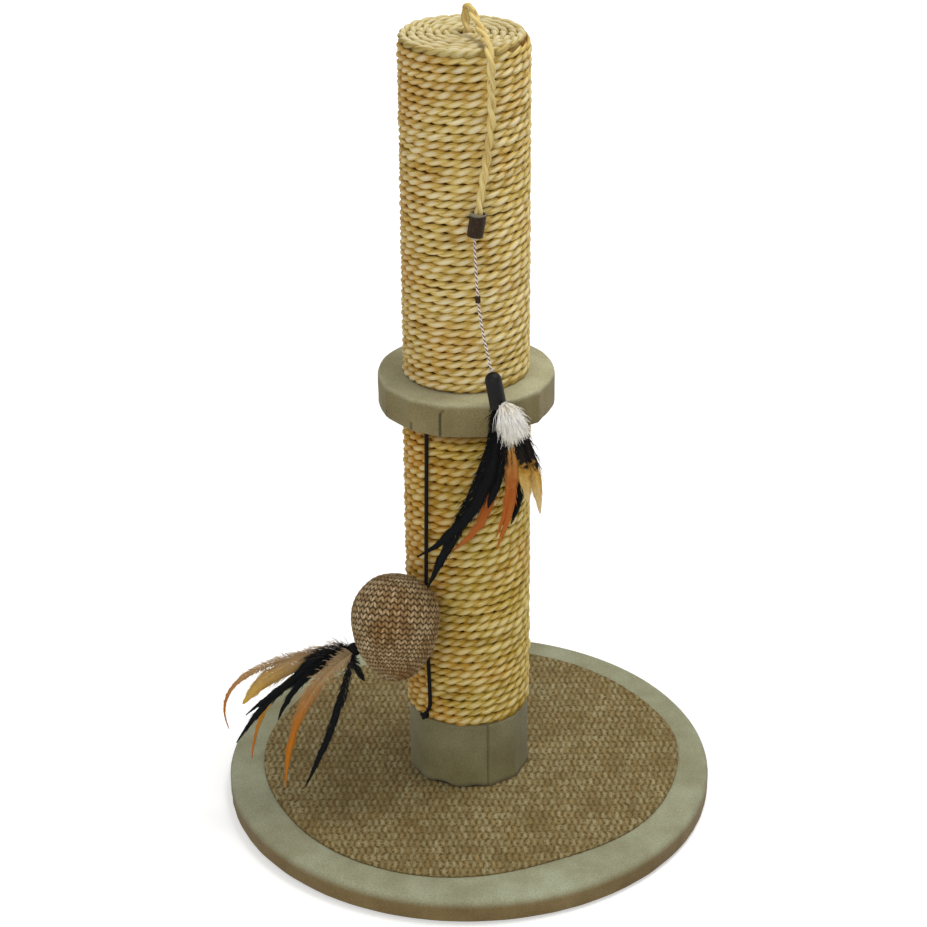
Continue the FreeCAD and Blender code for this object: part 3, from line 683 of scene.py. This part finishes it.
def woven(name, lean, steep, tucked, column_size, row_size, yarns, gap, sharp, faded, bridged):
    """Coarse woven yarn: dull, each yarn a little different, with dark gaps that loose hairs bridge in part."""
    # Spun paper and sisal yarn: no gloss, fibres along each yarn.
    material, tree, shader = finish(name, {"Roughness": 0.88, "Specular IOR Level": 0.22})
    spot = add(tree, "SeparateXYZ", [add(tree, "UVMap", uv_map="UVMap")])
    column = add(tree, "Math", [spot.outputs["X"], column_size], operation="DIVIDE")
    row = add(tree, "Math", [spot.outputs["Y"], row_size], operation="DIVIDE")
    phase = add(tree, "Math", [row, 0.0 if steep == 1 else 0.5], operation="ADD")
    to_and_fro = add(tree, "Math", [phase, 1.0], operation="PINGPONG")
    swing = add(tree, "MapRange", {
        "Value": to_and_fro, "From Min": 0.5 - 0.5 / steep, "From Max": 0.5 + 0.5 / steep})
    leaning = add(tree, "Math", [swing, lean, column], operation="MULTIPLY_ADD")
    strand = add(tree, "Math", [leaning], operation="FRACT")
    arch = add(tree, "Math", [strand, math.pi], operation="MULTIPLY")
    ridge = add(tree, "Math", [arch], operation="SINE")
    beat = add(tree, "Math", [row, math.pi], operation="MULTIPLY")
    wave = add(tree, "Math", [beat], operation="SINE")
    size = add(tree, "Math", [wave], operation="ABSOLUTE")
    tuck = add(tree, "Math", [size, 0.6], operation="POWER")
    half_tuck = add(tree, "Math", [tuck, tucked, 1 - tucked], operation="MULTIPLY_ADD")
    height = add(tree, "Math", [ridge, half_tuck], operation="MULTIPLY")
    which = add(tree, "CombineXYZ", [
        add(tree, "Math", [leaning], operation="FLOOR"), add(tree, "Math", [row], operation="FLOOR")])
    chance = add(tree, "TexWhiteNoise", {"Vector": which}, noise_dimensions="2D")
    place = add(tree, "TexCoord").outputs["Object"]
    fuzz = add(tree, "TexNoise", {"Vector": place, "Scale": 1 / (0.9 * mm), "Detail": 3.0})
    patch = add(tree, "TexNoise", {"Vector": place, "Scale": 1 / (30 * mm), "Detail": 3.0})
    mixed = add(tree, "Math", [chance, 0.4, 0.3], operation="MULTIPLY_ADD")
    yarn = add(tree, "ValToRGB", [mixed], yarns)
    fibrous = shaded(tree, yarn, fuzz, [(0.3, "#B9AC96"), (0.65, "#FFFFFF")])
    mottled = shaded(tree, fibrous, patch, [(0.3, faded), (0.68, "#FFFFFF")])
    proud = add(tree, "MapRange", {
        "Value": height, "From Min": 0.45 - 0.45 * sharp, "From Max": 0.5 + 0.5 * (1 - sharp)})
    # The mat's cut edge, below its top, is coloured as dark as a gap: painted shade on the edge.
    above = add(tree, "SeparateXYZ", [place]).outputs["Z"]
    above_edge_shade = add(tree, "MapRange", {"Value": above, "From Min": 21.7 * mm, "From Max": 22.5 * mm})
    hairs = add(tree, "TexNoise", {"Vector": place, "Scale": 1 / (2.6 * mm), "Detail": 2.0})
    bridges = add(tree, "MapRange", {"Value": hairs, "From Min": 0.44, "From Max": 0.6, "To Max": bridged})
    closed = add(tree, "Math", [proud, bridges], operation="MAXIMUM")
    lit = add(tree, "Math", [closed, above_edge_shade], operation="MULTIPLY")
    coloured = add(tree, "Mix", {0: lit, 6: ink(gap), 7: mottled}, data_type="RGBA")
    bump = add(tree, "Bump", {"Height": fuzz, "Strength": 0.35, "Distance": 0.4 * mm})
    fill(shader, {"Base Color": coloured, "Normal": bump})
    return material


# A cloth: how far its yarns lean aside, how sharply they turn back, and how deep they tuck under.
mat_cloth, mat_column, mat_row = (0.5, 2.5, 0.5), 4.9 * mm, 8.9 * mm
ball_cloth, ball_column, ball_row = (0.55, 1, 0.7), 4.4 * mm, 2.5 * mm
mat_weave = woven("woven_sisal_mat", *mat_cloth, mat_column, mat_row, [
    (0.3, "#958760"), (0.42, "#A69466"), (0.56, "#A69C74"), (0.7, "#B5AA82")], "#5A4A26", 0.2, "#DDD5C6", 0.75)
ball_weave = woven("woven_sisal_ball", *ball_cloth, ball_column, ball_row, [
    (0.3, "#998058"), (0.5, "#BCA67E"), (0.7, "#E0D0AC")], "#38260F", 0.6, "#D2B898", 0.0)
print("woven finishes:", mat_weave.name, ball_weave.name)

# %% [markdown]
# ### The scratching mat
#
# The mat is a round of the woven cloth, cut by hand and glued down, so its rim leaves the circle where the
# photograph shows it. A grid of points takes the height of the weave, its outer points are put on the rim, and
# a skirt goes down from them to the suede.

# %% The scratching mat
mat_radius, mat_hole, mat_height, yarn_rise, suede_height = 163.8, 44.0, 22.7, 0.9, 21.5
grid_steps, grid_reach = 307, 170
# A cut: the angle that it is about, the degrees it spreads over and its shift of the rim in mm.
mat_cuts = [(25, 24, -8.8), (98, 16, 4.2), (-64, 22, -3.0)]


def mat_edge(place):
    """How far the mat reaches from the post's axis, in mm, in the direction of a place on it."""
    turn = about(place)[0]
    return mat_radius + sum(
        shift * math.exp(-((turn - centre) / spread) ** 2) for centre, spread, shift in mat_cuts)


bm = bmesh.new()
bmesh.ops.create_grid(bm, x_segments=grid_steps, y_segments=grid_steps, size=grid_reach * mm)
stray = [vertex for vertex in bm.verts if not mat_hole < vertex.co.length / mm < mat_edge(vertex.co) + 0.6]
bmesh.ops.delete(bm, geom=stray, context="VERTS")


def on_mat(place):
    """Where a place on the mat lies in the cloth, whose yarns are not quite straight or even."""
    near, far = place * 110, place * 24
    aside = 0.75 * noise.noise(near) + 1.6 * noise.noise(far)
    onward = 1.1 * noise.noise(near + Vector((7, 3, 5))) + 1.6 * noise.noise(far + Vector((2, 9, 4)))
    return place.x + aside * mm, place.y + onward * mm


layer = bm.loops.layers.uv.new("UVMap")
for face in bm.faces:
    for loop in face.loops:
        loop[layer].uv = on_mat(loop.vert.co)
for vertex in bm.verts:
    column, row = on_mat(vertex.co)
    rise = woven_height(column / mat_column, row / mat_row, *mat_cloth)
    sag = 0.125 * noise.noise(vertex.co * 22)
    vertex.co.z = (mat_height + yarn_rise * rise + sag) * mm
rim = [edge for edge in bm.edges if edge.is_boundary and edge.verts[0].co.xy.length > 2 * mat_hole * mm]
for vertex in {vertex for edge in rim for vertex in edge.verts}:
    flat = vertex.co.xy.normalized() * (mat_edge(vertex.co) + 0.4 * noise.noise(vertex.co * 300)) * mm
    vertex.co.x, vertex.co.y = flat
skirt = bmesh.ops.extrude_edge_only(bm, edges=rim)
for part in skirt["geom"]:
    if isinstance(part, bmesh.types.BMVert):
        part.co.z = suede_height * mm
    elif isinstance(part, bmesh.types.BMFace):
        for loop in part.loops:
            loop[layer].uv = on_mat(loop.vert.co.xy.to_3d())
bmesh.ops.recalc_face_normals(bm, faces=bm.faces)
mat = show("scratch_mat_weave", meshed("scratch_mat_weave", bm), mat_weave, "post", "woven_mat", "scratch_mat")

# %% [markdown]
# ### The stuffed ball
#
# The ball is a firm stuffed pear, wider above, with its cover pulled tight and gathered below. A cloth
# simulation would only swell it, because nothing on it hangs, so it is turned from three arcs: the crown, the
# long side and the closed bottom. The weave runs round it in rows, and the points move out by its height.

# %% The ball
ball_place = Vector((-54.33, -61.41, 0.0)) * mm
belt, crown, side_centre, side_turn = 185.5, 33.4, -37.0, 36.6
heel, ball_relief = 158.0, 0.75
bm = spun((0.001, belt + crown - 0.001), [((0, belt), 90, 72), ((side_centre, belt), side_turn, 62),
                                          ((0, heel), 90 - side_turn, 30)], 252)

layer = bm.loops.layers.uv.new("UVMap")
columns_round = 2 * round(2 * math.pi * crown * mm / ball_row / 2)
weave_turn = Matrix.Rotation(math.radians(5), 3, "Y") @ Matrix.Rotation(math.radians(-26), 3, "X")


def on_weave(place):
    """Where a place on the ball lies in the cloth: down from the cloth's own pole, and the turn about it."""
    seen = weave_turn.inverted() @ (place - Vector((0, 0, (belt - 8) * mm)))
    return seen.angle(Vector((0, 0, 1))) * (crown + 3) * mm, (math.atan2(seen.x, -seen.y) / (2 * math.pi)) % 1.0


for face in bm.faces:
    spots = [on_weave(loop.vert.co) for loop in face.loops]
    latest = max(turn for down, turn in spots)
    for loop, (down, turn) in zip(face.loops, spots):
        turn += 1.0 if latest - turn > 0.5 else 0.0
        loop[layer].uv = (down, turn * columns_round * ball_row)
bmesh.ops.recalc_face_normals(bm, faces=bm.faces)
bm.normal_update()
shifts = []
for vertex in bm.verts:
    down, turn = on_weave(vertex.co)
    rise = woven_height(down / ball_column, turn * columns_round, *ball_cloth)
    lump = noise.noise(vertex.co * 45) * 0.9
    shifts.append(vertex.normal * (ball_relief * (rise - 1.0) + lump) * mm)
for vertex, shift in zip(bm.verts, shifts):
    vertex.co += shift + ball_place
ball = show("ball_woven_cover", meshed("ball_woven_cover", bm), ball_weave, "ball", "woven_mat",
            "ball_cover", "ball_core")

# %% [markdown]
# ## Feathers and down
#
# A feather is a shaft with hundreds of fine barbs that leave it on both sides, slope towards its tip and cling
# together in tufts. A flat leaf with a picture on it would look like paper from any other side, so every
# barb is a thin tapering tube that flows along the shaft. Each feather is turned about its shaft and cupped a
# little, so that no two lie flat together. The shaft's start, bend and tip are those of the construction, three
# of them sway aside on their way, and a group has a few feathers more to make it full.

# %% Feather finishes
def plumage(name, tones, low, high, gloss=0.1):
    """Feather colour that changes with the height, from its first tone at low to its last at high."""
    # Keratin barbs: IOR about 1.54, silky rather than glossy.
    material, tree, shader = finish(name, {"Roughness": 0.5, "IOR": 1.54, "Specular IOR Level": gloss})
    place = add(tree, "TexCoord").outputs["Object"]
    height = add(tree, "SeparateXYZ", [place]).outputs["Z"]
    share = add(tree, "MapRange", {"Value": height, "From Min": low * mm, "From Max": high * mm})
    streaks = add(tree, "TexNoise", {"Vector": place, "Scale": 1 / (3 * mm), "Detail": 2.0})
    swayed = add(tree, "Math", [streaks, 0.35, share], operation="MULTIPLY_ADD")
    centred = add(tree, "Math", [swayed, 0.175], operation="SUBTRACT")
    colour = add(tree, "ValToRGB", [centred], tones)
    fill(shader, {"Base Color": colour})
    return material


black_plume = plumage("black_hackle", [(0.0, "#060708"), (0.5, "#0B0D0F"), (1.0, "#050506")], 40, 360, 0.08)
rust_plume = plumage("rust_hackle", [
    (0.0, "#BC6C2E"), (0.45, "#B26227"), (0.8, "#CC9750"), (1.0, "#DCC9A0")], 245, 350)
tan_plume = plumage("tan_hackle", [
    (0.0, "#E6CFA0"), (0.4, "#D2AE5E"), (0.52, "#B98A38"), (0.6, "#1C1612"), (1.0, "#141210")], 275, 345)
amber_plume = plumage("amber_hackle", [
    (0.0, "#C47A22"), (0.5, "#B97224"), (0.8, "#B38E5E"), (1.0, "#B29B78")], 50, 160)
gold_plume = plumage("gold_hackle", [
    (0.0, "#C8682A"), (0.4, "#CF8E34"), (0.6, "#D8AE48"), (1.0, "#A88A62")], 50, 150)
white_plume = plumage("white_down", [
    (0.0, "#E9DEC6"), (0.4, "#FBF7EC"), (0.8, "#FFFDF8"), (1.0, "#F1EADB")], 330, 365)
print("feather finishes:", black_plume.name, rust_plume.name, tan_plume.name, amber_plume.name,
      gold_plume.name, white_plume.name)

# %% One feather
feather_shape = [(0.0, 0.3), (0.15, 0.6), (0.4, 1.0), (0.7, 0.85), (0.88, 0.45), (1.0, 0.06)]
shaft_steps, barb_spacing, barb_thickness = 40, 0.36 * mm, 0.5 * mm


def share_at(shape, t):
    """The height at t of an outline of (place, height) corners."""
    for (a, low), (b, high) in zip(shape, shape[1:]):
        if t <= b:
            return low + (high - low) * (t - a) / (b - a)
    return shape[-1][1]


def feather(start, bend, tip, width, sway, seed, fluff, puff, room):
    """The runs of one feather: its shaft, and its barbs in pairs. The shaft sways aside by some mm on its way.
    The barbs puff out on its first part, fluff, and lean back by the room behind it, in mm, at most."""
    chance = random.Random(seed)
    start, bend, tip = Vector(start) * mm, Vector(bend) * mm, Vector(tip) * mm

    def on_shaft(t):
        t = min(t, 1.0)
        along = ((bend - start) * (1 - t) + (tip - bend) * t).normalized()
        aside = Vector((sway * mm * 6.75 * t * t * (1 - t), 0, 0))  # the whole sway at two thirds of the way
        return (start * (1 - t) ** 2 + bend * (2 * t * (1 - t)) + tip * t * t + aside,
                along.cross(Vector((0, 1, 0))).normalized())

    line = [on_shaft(i / shaft_steps)[0] for i in range(shaft_steps + 1)]
    length = length_of(line)
    roll, cup = chance.uniform(-0.6, 0.6), chance.uniform(0.1, 0.35)
    runs = [[(place, 2.2 - 1.8 * i / shaft_steps) for i, place in enumerate(line)]]
    pairs = int(length / barb_spacing)
    for i in range(pairs):
        t = (i + chance.random()) / pairs
        loose = max(0.0, 1.0 - t / fluff)
        for hand in (-1, 1):
            tuft = noise.noise((t * 9.0, seed, hand * 3.0))
            clump = noise.noise((t * length / (2.6 * mm), seed + 40.0, hand * 3.0))
            astray = chance.random() < 0.1
            vary = chance.uniform(0.72, 1.06) * (1.0 + 0.35 * tuft + 0.35 * clump + 0.5 * astray)
            lift = (chance.uniform(-1, 1) * (0.6 + 2.6 * loose) + tuft) * mm
            rake = 3.1 + 0.8 * tuft + 1.1 * clump + chance.gauss(0, 0.25)
            rake *= (1.0 - 0.6 * loose) * (1.0 - 0.3 * astray)
            run = [(on_shaft(t)[0], 1.0)]
            for k, fine in ((0.3, 1.0), (0.65, 0.85), (1.0, 0.3)):
                further = t + width * mm / 2 * rake * k / length
                half = width * mm / 2 * vary * (share_at(feather_shape, further) + puff * loose)
                root, side = on_shaft(further)
                spread = half * (2 * k - k * k)
                back = min((hand * roll * (0.4 + further) + cup) * spread + lift * k * k, room * mm)
                run.append((root + side * hand * spread + Vector((0, back, 0)), fine))
            runs.append(run)
    return runs


def plume_piece(name, group, start, material, body, slot, seed, fluff=0.3, puff=0.6, room=15):
    """All the feathers of one colour, tied at one place, as one piece."""
    runs = []
    for n, (layer_y, bend, tip, width, *sway) in enumerate(group):
        root = (start[0], start[1] + layer_y, start[2])
        runs += feather(root, bend, tip, width, sum(sway), seed + n, fluff, puff, room)
    mesh = tubes(name + "_barbs", runs, barb_thickness, 4)
    return show(name + "_barbs", mesh, material, body, slot, name)


# %% The lure's feathers
# A feather of a group: its layer, its bend, its tip and its width, and how far it sways if it does, in mm.
lure_tie = (22.5, -67.9, 363.5)
collar_gap = 1.8
plume_piece("lure_feathers_black", [
    (-3.3, (22.2, -77, 287), (-36.6, -83, 248.2), 9, 4), (-2.0, (20.8, -71, 282.3), (-29.5, -77, 219), 10, -7),
    (-2.6, (27, -73, 318), (15, -75, 284), 11), (3.2, (49.1, -62, 307.5), (31.8, -63, 264.1), 7)],
    lure_tie, black_plume, "lure", "black_feather", 11, room=collar_gap)
plume_piece("lure_feathers_rust", [
    (0.6, (46, -66, 305), (20.8, -68, 245.5), 6), (0.9, (40, -66, 303), (21, -67.5, 256), 6),
    (1.9, (28.2, -64, 267.9), (-11.4, -64, 242.6), 8)],
    lure_tie, rust_plume, "lure", "rust_feather", 21, room=collar_gap)
plume_piece("lure_feather_tan", [
    (-0.7, (48, -68.5, 330), (52.7, -71, 277), 12), (-0.2, (41, -67.8, 325), (44, -69.5, 285), 12)],
    lure_tie, tan_plume, "lure", "gold_feather", 31, room=collar_gap)

# %% The ball's feathers
ball_tie = (-86.6, -62.2, 157.6)
plume_piece("ball_feathers_black", [
    (-0.7, (-142, -70, 142), (-176.5, -71, 82), 6), (-2.1, (-128, -76, 150), (-143.8, -76, 105), 6),
    (-3.5, (-96, -80, 110), (-124.8, -81, 48.5), 5.5), (-1.4, (-126, -73, 148), (-168, -73, 108), 5),
    (-1.0, (-112, -68, 158), (-136, -71, 131), 13), (-4.2, (-84, -80, 152), (-77.4, -80, 141.7), 5)],
    ball_tie, black_plume, "ball", "black_feather", 41, 0.4)
plume_piece("ball_feathers_amber", [
    (2.1, (-190, -57, 148), (-183.5, -57, 86), 3, -4), (-4.9, (-134, -86, 135), (-139.5, -88, 52.5), 6)],
    ball_tie, amber_plume, "ball", "rust_feather", 51, 0.6, 2.6)
plume_piece("ball_feathers_gold", [
    (0.7, (-146, -64, 150), (-170.5, -65, 113), 14), (3.5, (-160, -52, 130), (-167.8, -50, 54), 4)],
    ball_tie, gold_plume, "ball", "gold_feather", 61)

# %% [markdown]
# ### The white down
#
# A tuft of marabou down hides the mouth of the cap. Down has no vane: every barb is loose and waves. So it is
# a sheaf of fine curling hairs that leave one place in a wide cone.

# %% White down
chance = random.Random(71)
down_start = Vector((25.2, -73.2, 366.0)) * mm
down_along = (Vector((41, -84, 338)) * mm - down_start).normalized()
down_side = down_along.orthogonal().normalized()
down_length, down_hairs = 18, 1900
down_runs = []
for n in range(down_hairs):
    spot = chance.random()
    turn = chance.uniform(0, 2 * math.pi)
    round_about = Matrix.Rotation(turn, 3, down_along) @ down_side
    place = down_start + (down_along * spot * down_length + round_about * chance.uniform(0, 3.2)) * mm
    clump = noise.noise((math.cos(turn) * 2.2, math.sin(turn) * 2.2, spot * 4.0))
    away = (down_along * (0.65 + 0.5 * clump) + round_about * chance.uniform(0.25, 1.15)).normalized()
    reach = (19 - 6 * spot) * chance.uniform(0.55, 1.15) * (1 + 0.5 * clump) * mm
    run = [(place, 1.0)]
    for k in range(4):
        jitter = Vector((chance.gauss(0, 1), chance.gauss(0, 1), chance.gauss(0, 1))) * 0.12
        away = (away + down_along * 0.16 + Vector((0, 0, -0.16)) + jitter).normalized()
        place = place + away * reach / 4
        run.append((place, 0.9 - 0.2 * k))
    down_runs.append(run)
down_mesh = tubes("lure_down_hairs", down_runs, barb_thickness, 4)
show("lure_down_hairs", down_mesh, white_plume, "lure", "white_down", "lure_down_white")

# %% [markdown]
# ## Knots and the binding
#
# The elastic and the toy rope end in plain overhand knots. An overhand knot drawn tight is close to the trefoil
# curve, so a smooth closed line through that curve carries the cord. The feathers of the ball are whipped on
# with turns of black thread.

# %% The knots
def knot(name, centre, size, cord, material, body, slot, node, steps=24):
    """An overhand knot of a cord of some thickness, that fits in a ball of radius size."""
    scale = (size - cord / 2) / 3
    route = []
    for i in range(steps + 2):
        t = 2 * math.pi * i / steps
        place = (math.sin(t) + 2 * math.sin(2 * t), math.cos(t) - 2 * math.cos(2 * t), -1.6 * math.sin(3 * t))
        route.append((Vector(centre) + Vector(place) * scale) * mm)
    line = read_line(route, 6)
    mesh = tubes(name, [even(line)], cord * mm)
    mark(mesh, "proud", lambda place: 0.8)
    return show(name, mesh, material, body, slot, *([node] if node else []))


of_elastic = (black_elastic, "post", "black_elastic")
of_silver = (silver_cord, "lure_line", "silver_cord", None, 18)  # its knots are no solids of their own
knot("ball_elastic_top_knot", beside_post(-36, 49.6, 347) / mm, 3.6, 2.4, *of_elastic, "ball_cord_top_knot")
knot("ball_elastic_bottom_knot", beside_post(-41.7, 51.2, 84.5) / mm, 3.9, 2.6, *of_elastic,
     "ball_cord_bottom_knot")
knot("toy_rope_end_knot", (2.6, 3.0, 586.0), 7.0, 5.0, toy_grass, "post", "grass_rope", "toy_rope_knot")
knot("lure_cord_top_knot", (6.3, -53.25, 482.5), 1.9, 1.2, *of_silver)
knot("lure_cord_bottom_knot", (17.6, -66.9, 388.9), 1.9, 1.2, *of_silver)

# %% The whipping of the ball's feathers
whip_turns, whip_points, whip_length, thread = 7, 12, 5.4, 1.1
whip_count = whip_turns * whip_points
whip_centre = Vector((-85.2, -62.0, 158.5))
whip_axis = (Vector(ball_tie) - whip_centre).normalized()
whip_side = whip_axis.orthogonal().normalized()
whip_up = whip_axis.cross(whip_side)
whip_route = []
for i in range(whip_count + 1):
    turn = 2 * math.pi * i / whip_points
    off_middle = i / whip_count - 0.5
    radius = 4.9 - 4.4 * off_middle ** 2
    whip_route.append((whip_centre + whip_axis * whip_length * off_middle
                       + (whip_side * math.cos(turn) + whip_up * math.sin(turn)) * radius) * mm)
whip_mesh = tubes("ball_feather_whipping", [even(read_line(whip_route, 3))], thread * mm, 6)
show("ball_feather_whipping", whip_mesh, black_elastic, "ball", "black_elastic", "ball_binding")

# %% [markdown]
# ## The solids that stay
#
# The rubber cap, the ferrule and the bead are right as built, and only need their finishes. So do the hidden
# parts: board, tubes, plugs, bolt and inserts.

# %% Mottled materials
def raw(name, dark, pale, size, stretch, sockets, strength=0.2):
    """A plain mottled material, with grains of a size in mm drawn out along one axis, and a relief."""
    material, tree, shader = finish(name, sockets)
    place = add(tree, "TexCoord").outputs["Object"]
    scaled = add(tree, "Mapping", {0: place, "Scale": (1.0, 1.0, 1.0 / stretch)})
    grains = add(tree, "TexNoise", {"Vector": scaled, "Scale": 1 / (size * mm), "Detail": 4.0})
    colour = add(tree, "ValToRGB", [grains], [(0.3, dark), (0.7, pale)])
    relief = add(tree, "Bump", {"Height": grains, "Strength": strength, "Distance": 0.2 * mm})
    fill(shader, {"Base Color": colour, "Normal": relief})
    return material


# Rubber: IOR about 1.52, matt from its mould. The others are bare board, paper, poplar and zinc.
black_rubber = raw("moulded_rubber_cap", "#0A0A0A", "#141413", 1.2, 1.0, {
    "Roughness": 0.5, "IOR": 1.52, "Specular IOR Level": 0.14}, 0.12)
fibreboard = raw("raw_fibreboard", "#8A6C48", "#A88960", 1.5, 1.0, {"Roughness": 0.85})
paper_core = raw("spiral_paper_tube", "#86704F", "#A28A64", 6.0, 0.3, {"Roughness": 0.9})
# The foot's packing is coloured near black as painted shade: it shows only in the gap under the sleeve's lifted
# edge.
packing_board = raw("packing_board_painted_shade", "#2E2417", "#3D3120", 1.5, 1.0, {"Roughness": 0.9})
turned_wood = raw("turned_poplar_plug", "#A98A5C", "#CBB083", 1.2, 14.0, {"Roughness": 0.7})
zinc_steel = raw("zinc_plated_steel", "#9A9B9C", "#BEBFBE", 2.0, 1.0, {"Roughness": 0.34, "Metallic": 1.0})
print("mottled finishes:", black_rubber.name, fibreboard.name, paper_core.name, packing_board.name,
      turned_wood.name, zinc_steel.name)

# %% The ferrule's dark plastic, with a painted pale highlight on its rim
# Brown-black plastic: IOR about 1.5, scuffed by handling.
dark_tube, tree, shader = finish("dark_plastic_ferrule", {
    "Roughness": 0.5, "IOR": 1.5, "Specular IOR Level": 0.12})
place = add(tree, "TexCoord").outputs["Object"]
scuffs = add(tree, "TexNoise", {"Vector": place, "Scale": 1 / (2.0 * mm), "Detail": 4.0})
tint = add(tree, "ValToRGB", [scuffs], [(0.3, "#23170D"), (0.6, "#322315"), (0.78, "#4E3D2A")])
height = add(tree, "SeparateXYZ", [place]).outputs["Z"]
# Painted highlight: the top of the rim is mixed towards a pale grey.
mouth = add(tree, "MapRange", {"Value": height, "From Min": 499.3 * mm, "From Max": 500.6 * mm, "To Max": 0.8})
rim_highlighted = add(tree, "Mix", {0: mouth, 6: tint, 7: ink("#8E8772")}, data_type="RGBA")
grain = add(tree, "Bump", {"Height": scuffs, "Strength": 0.15, "Distance": 0.2 * mm})
fill(shader, {"Base Color": rim_highlighted, "Normal": grain})
print("finish of the ferrule and the bead:", dark_tube.name)

# %% Finishes of the solids that stay
kept_solids = {
    black_rubber: ["lure_cap"], dark_tube: ["toy_ferrule", "lure_bead"],
    fibreboard: ["base_board", "collar_core"], paper_core: ["lower_tube", "upper_tube"],
    packing_board: ["foot_packing"],
    turned_wood: ["lower_bottom_plug", "lower_top_plug", "upper_bottom_plug", "upper_top_plug"],
    zinc_steel: ["post_bolt", "bolt_washer", "bolt_insert", "lower_stud_insert", "upper_stud_insert",
                 "joining_stud"]}
for material, names in kept_solids.items():
    for name in names:
        nodes[name].data.materials.clear()
        nodes[name].data.materials.append(material)
print("solids with a new finish:", sum(len(names) for names in kept_solids.values()))

# %% [markdown]
# ## The stage
#
# The photograph has a plain white ground. The floor is white and keeps the object's soft shadow: for the camera
# it glows a little as well, so that its unshaded part reaches white while the lamps stay at a plain level. The
# glow grows with the distance, where the lamps' light falls off, so the floor meets the white sky unseen.

# %% Floor, sky and lamps
def seen_straight(tree):
    """1 for a ray that shows a surface to the camera, in a mirror and through glass too, and 0 for the rest."""
    rays = add(tree, "LightPath").outputs
    either = add(tree, "Math", [rays["Is Camera Ray"], rays["Is Glossy Ray"]], operation="MAXIMUM")
    return add(tree, "Math", [either, rays["Is Transmission Ray"]], operation="MAXIMUM")


white = (1.0, 1.0, 1.0, 1.0)
bm = bmesh.new()
bmesh.ops.create_grid(bm, x_segments=1, y_segments=1, size=12.0)
floor_mesh = meshed("floor", bm)
floor = bpy.data.objects.new("floor", floor_mesh)
scene.collection.objects.link(floor)
floor_paint, tree, shader = finish("white_floor", {"Base Color": ink("#E2E2E0"), "Roughness": 0.95})
away = add(tree, "VectorMath", [add(tree, "TexCoord").outputs["Object"]], operation="LENGTH")
distant = add(tree, "MapRange", {
    "Value": away, "From Min": 0.5, "From Max": 2.2, "To Min": 0.42, "To Max": 1.0},
    interpolation_type="SMOOTHSTEP")
glow = add(tree, "Math", [seen_straight(tree), distant], operation="MULTIPLY")
fill(shader, {"Emission Color": white, "Emission Strength": glow})
floor_mesh.materials.append(floor_paint)

sky = bpy.data.worlds.new("studio")
scene.world = sky
sky.use_nodes = True
tree = sky.node_tree
strength = add(tree, "MapRange", {"Value": seen_straight(tree), "To Min": 0.42, "To Max": 1.0})
fill(tree.nodes["Background"], {"Color": white, "Strength": strength})

# Each lamp: its place and size in metres, and its power in watts. All look at the middle of the post.
lamps = {"key": ((0.65, 0.0, 2.4), 0.8, 27.0), "fill": ((-0.5, -2.2, 1.3), 1.6, 19.0),
         "back": ((0.3, 1.6, 2.0), 1.2, 6.0)}
middle = Vector((0.0, 0.0, 0.3))
for name, (place, size, watts) in lamps.items():
    lamp = bpy.data.lights.new(name, "AREA")
    lamp.size = size
    lamp.energy = watts
    carrier = bpy.data.objects.new(name, lamp)
    scene.collection.objects.link(carrier)
    carrier.location = place
    carrier.rotation_euler = (middle - Vector(place)).to_track_quat("-Z", "Y").to_euler()
scene.view_settings.view_transform = "Standard"
print("stage and", len(lamps), "lamps")
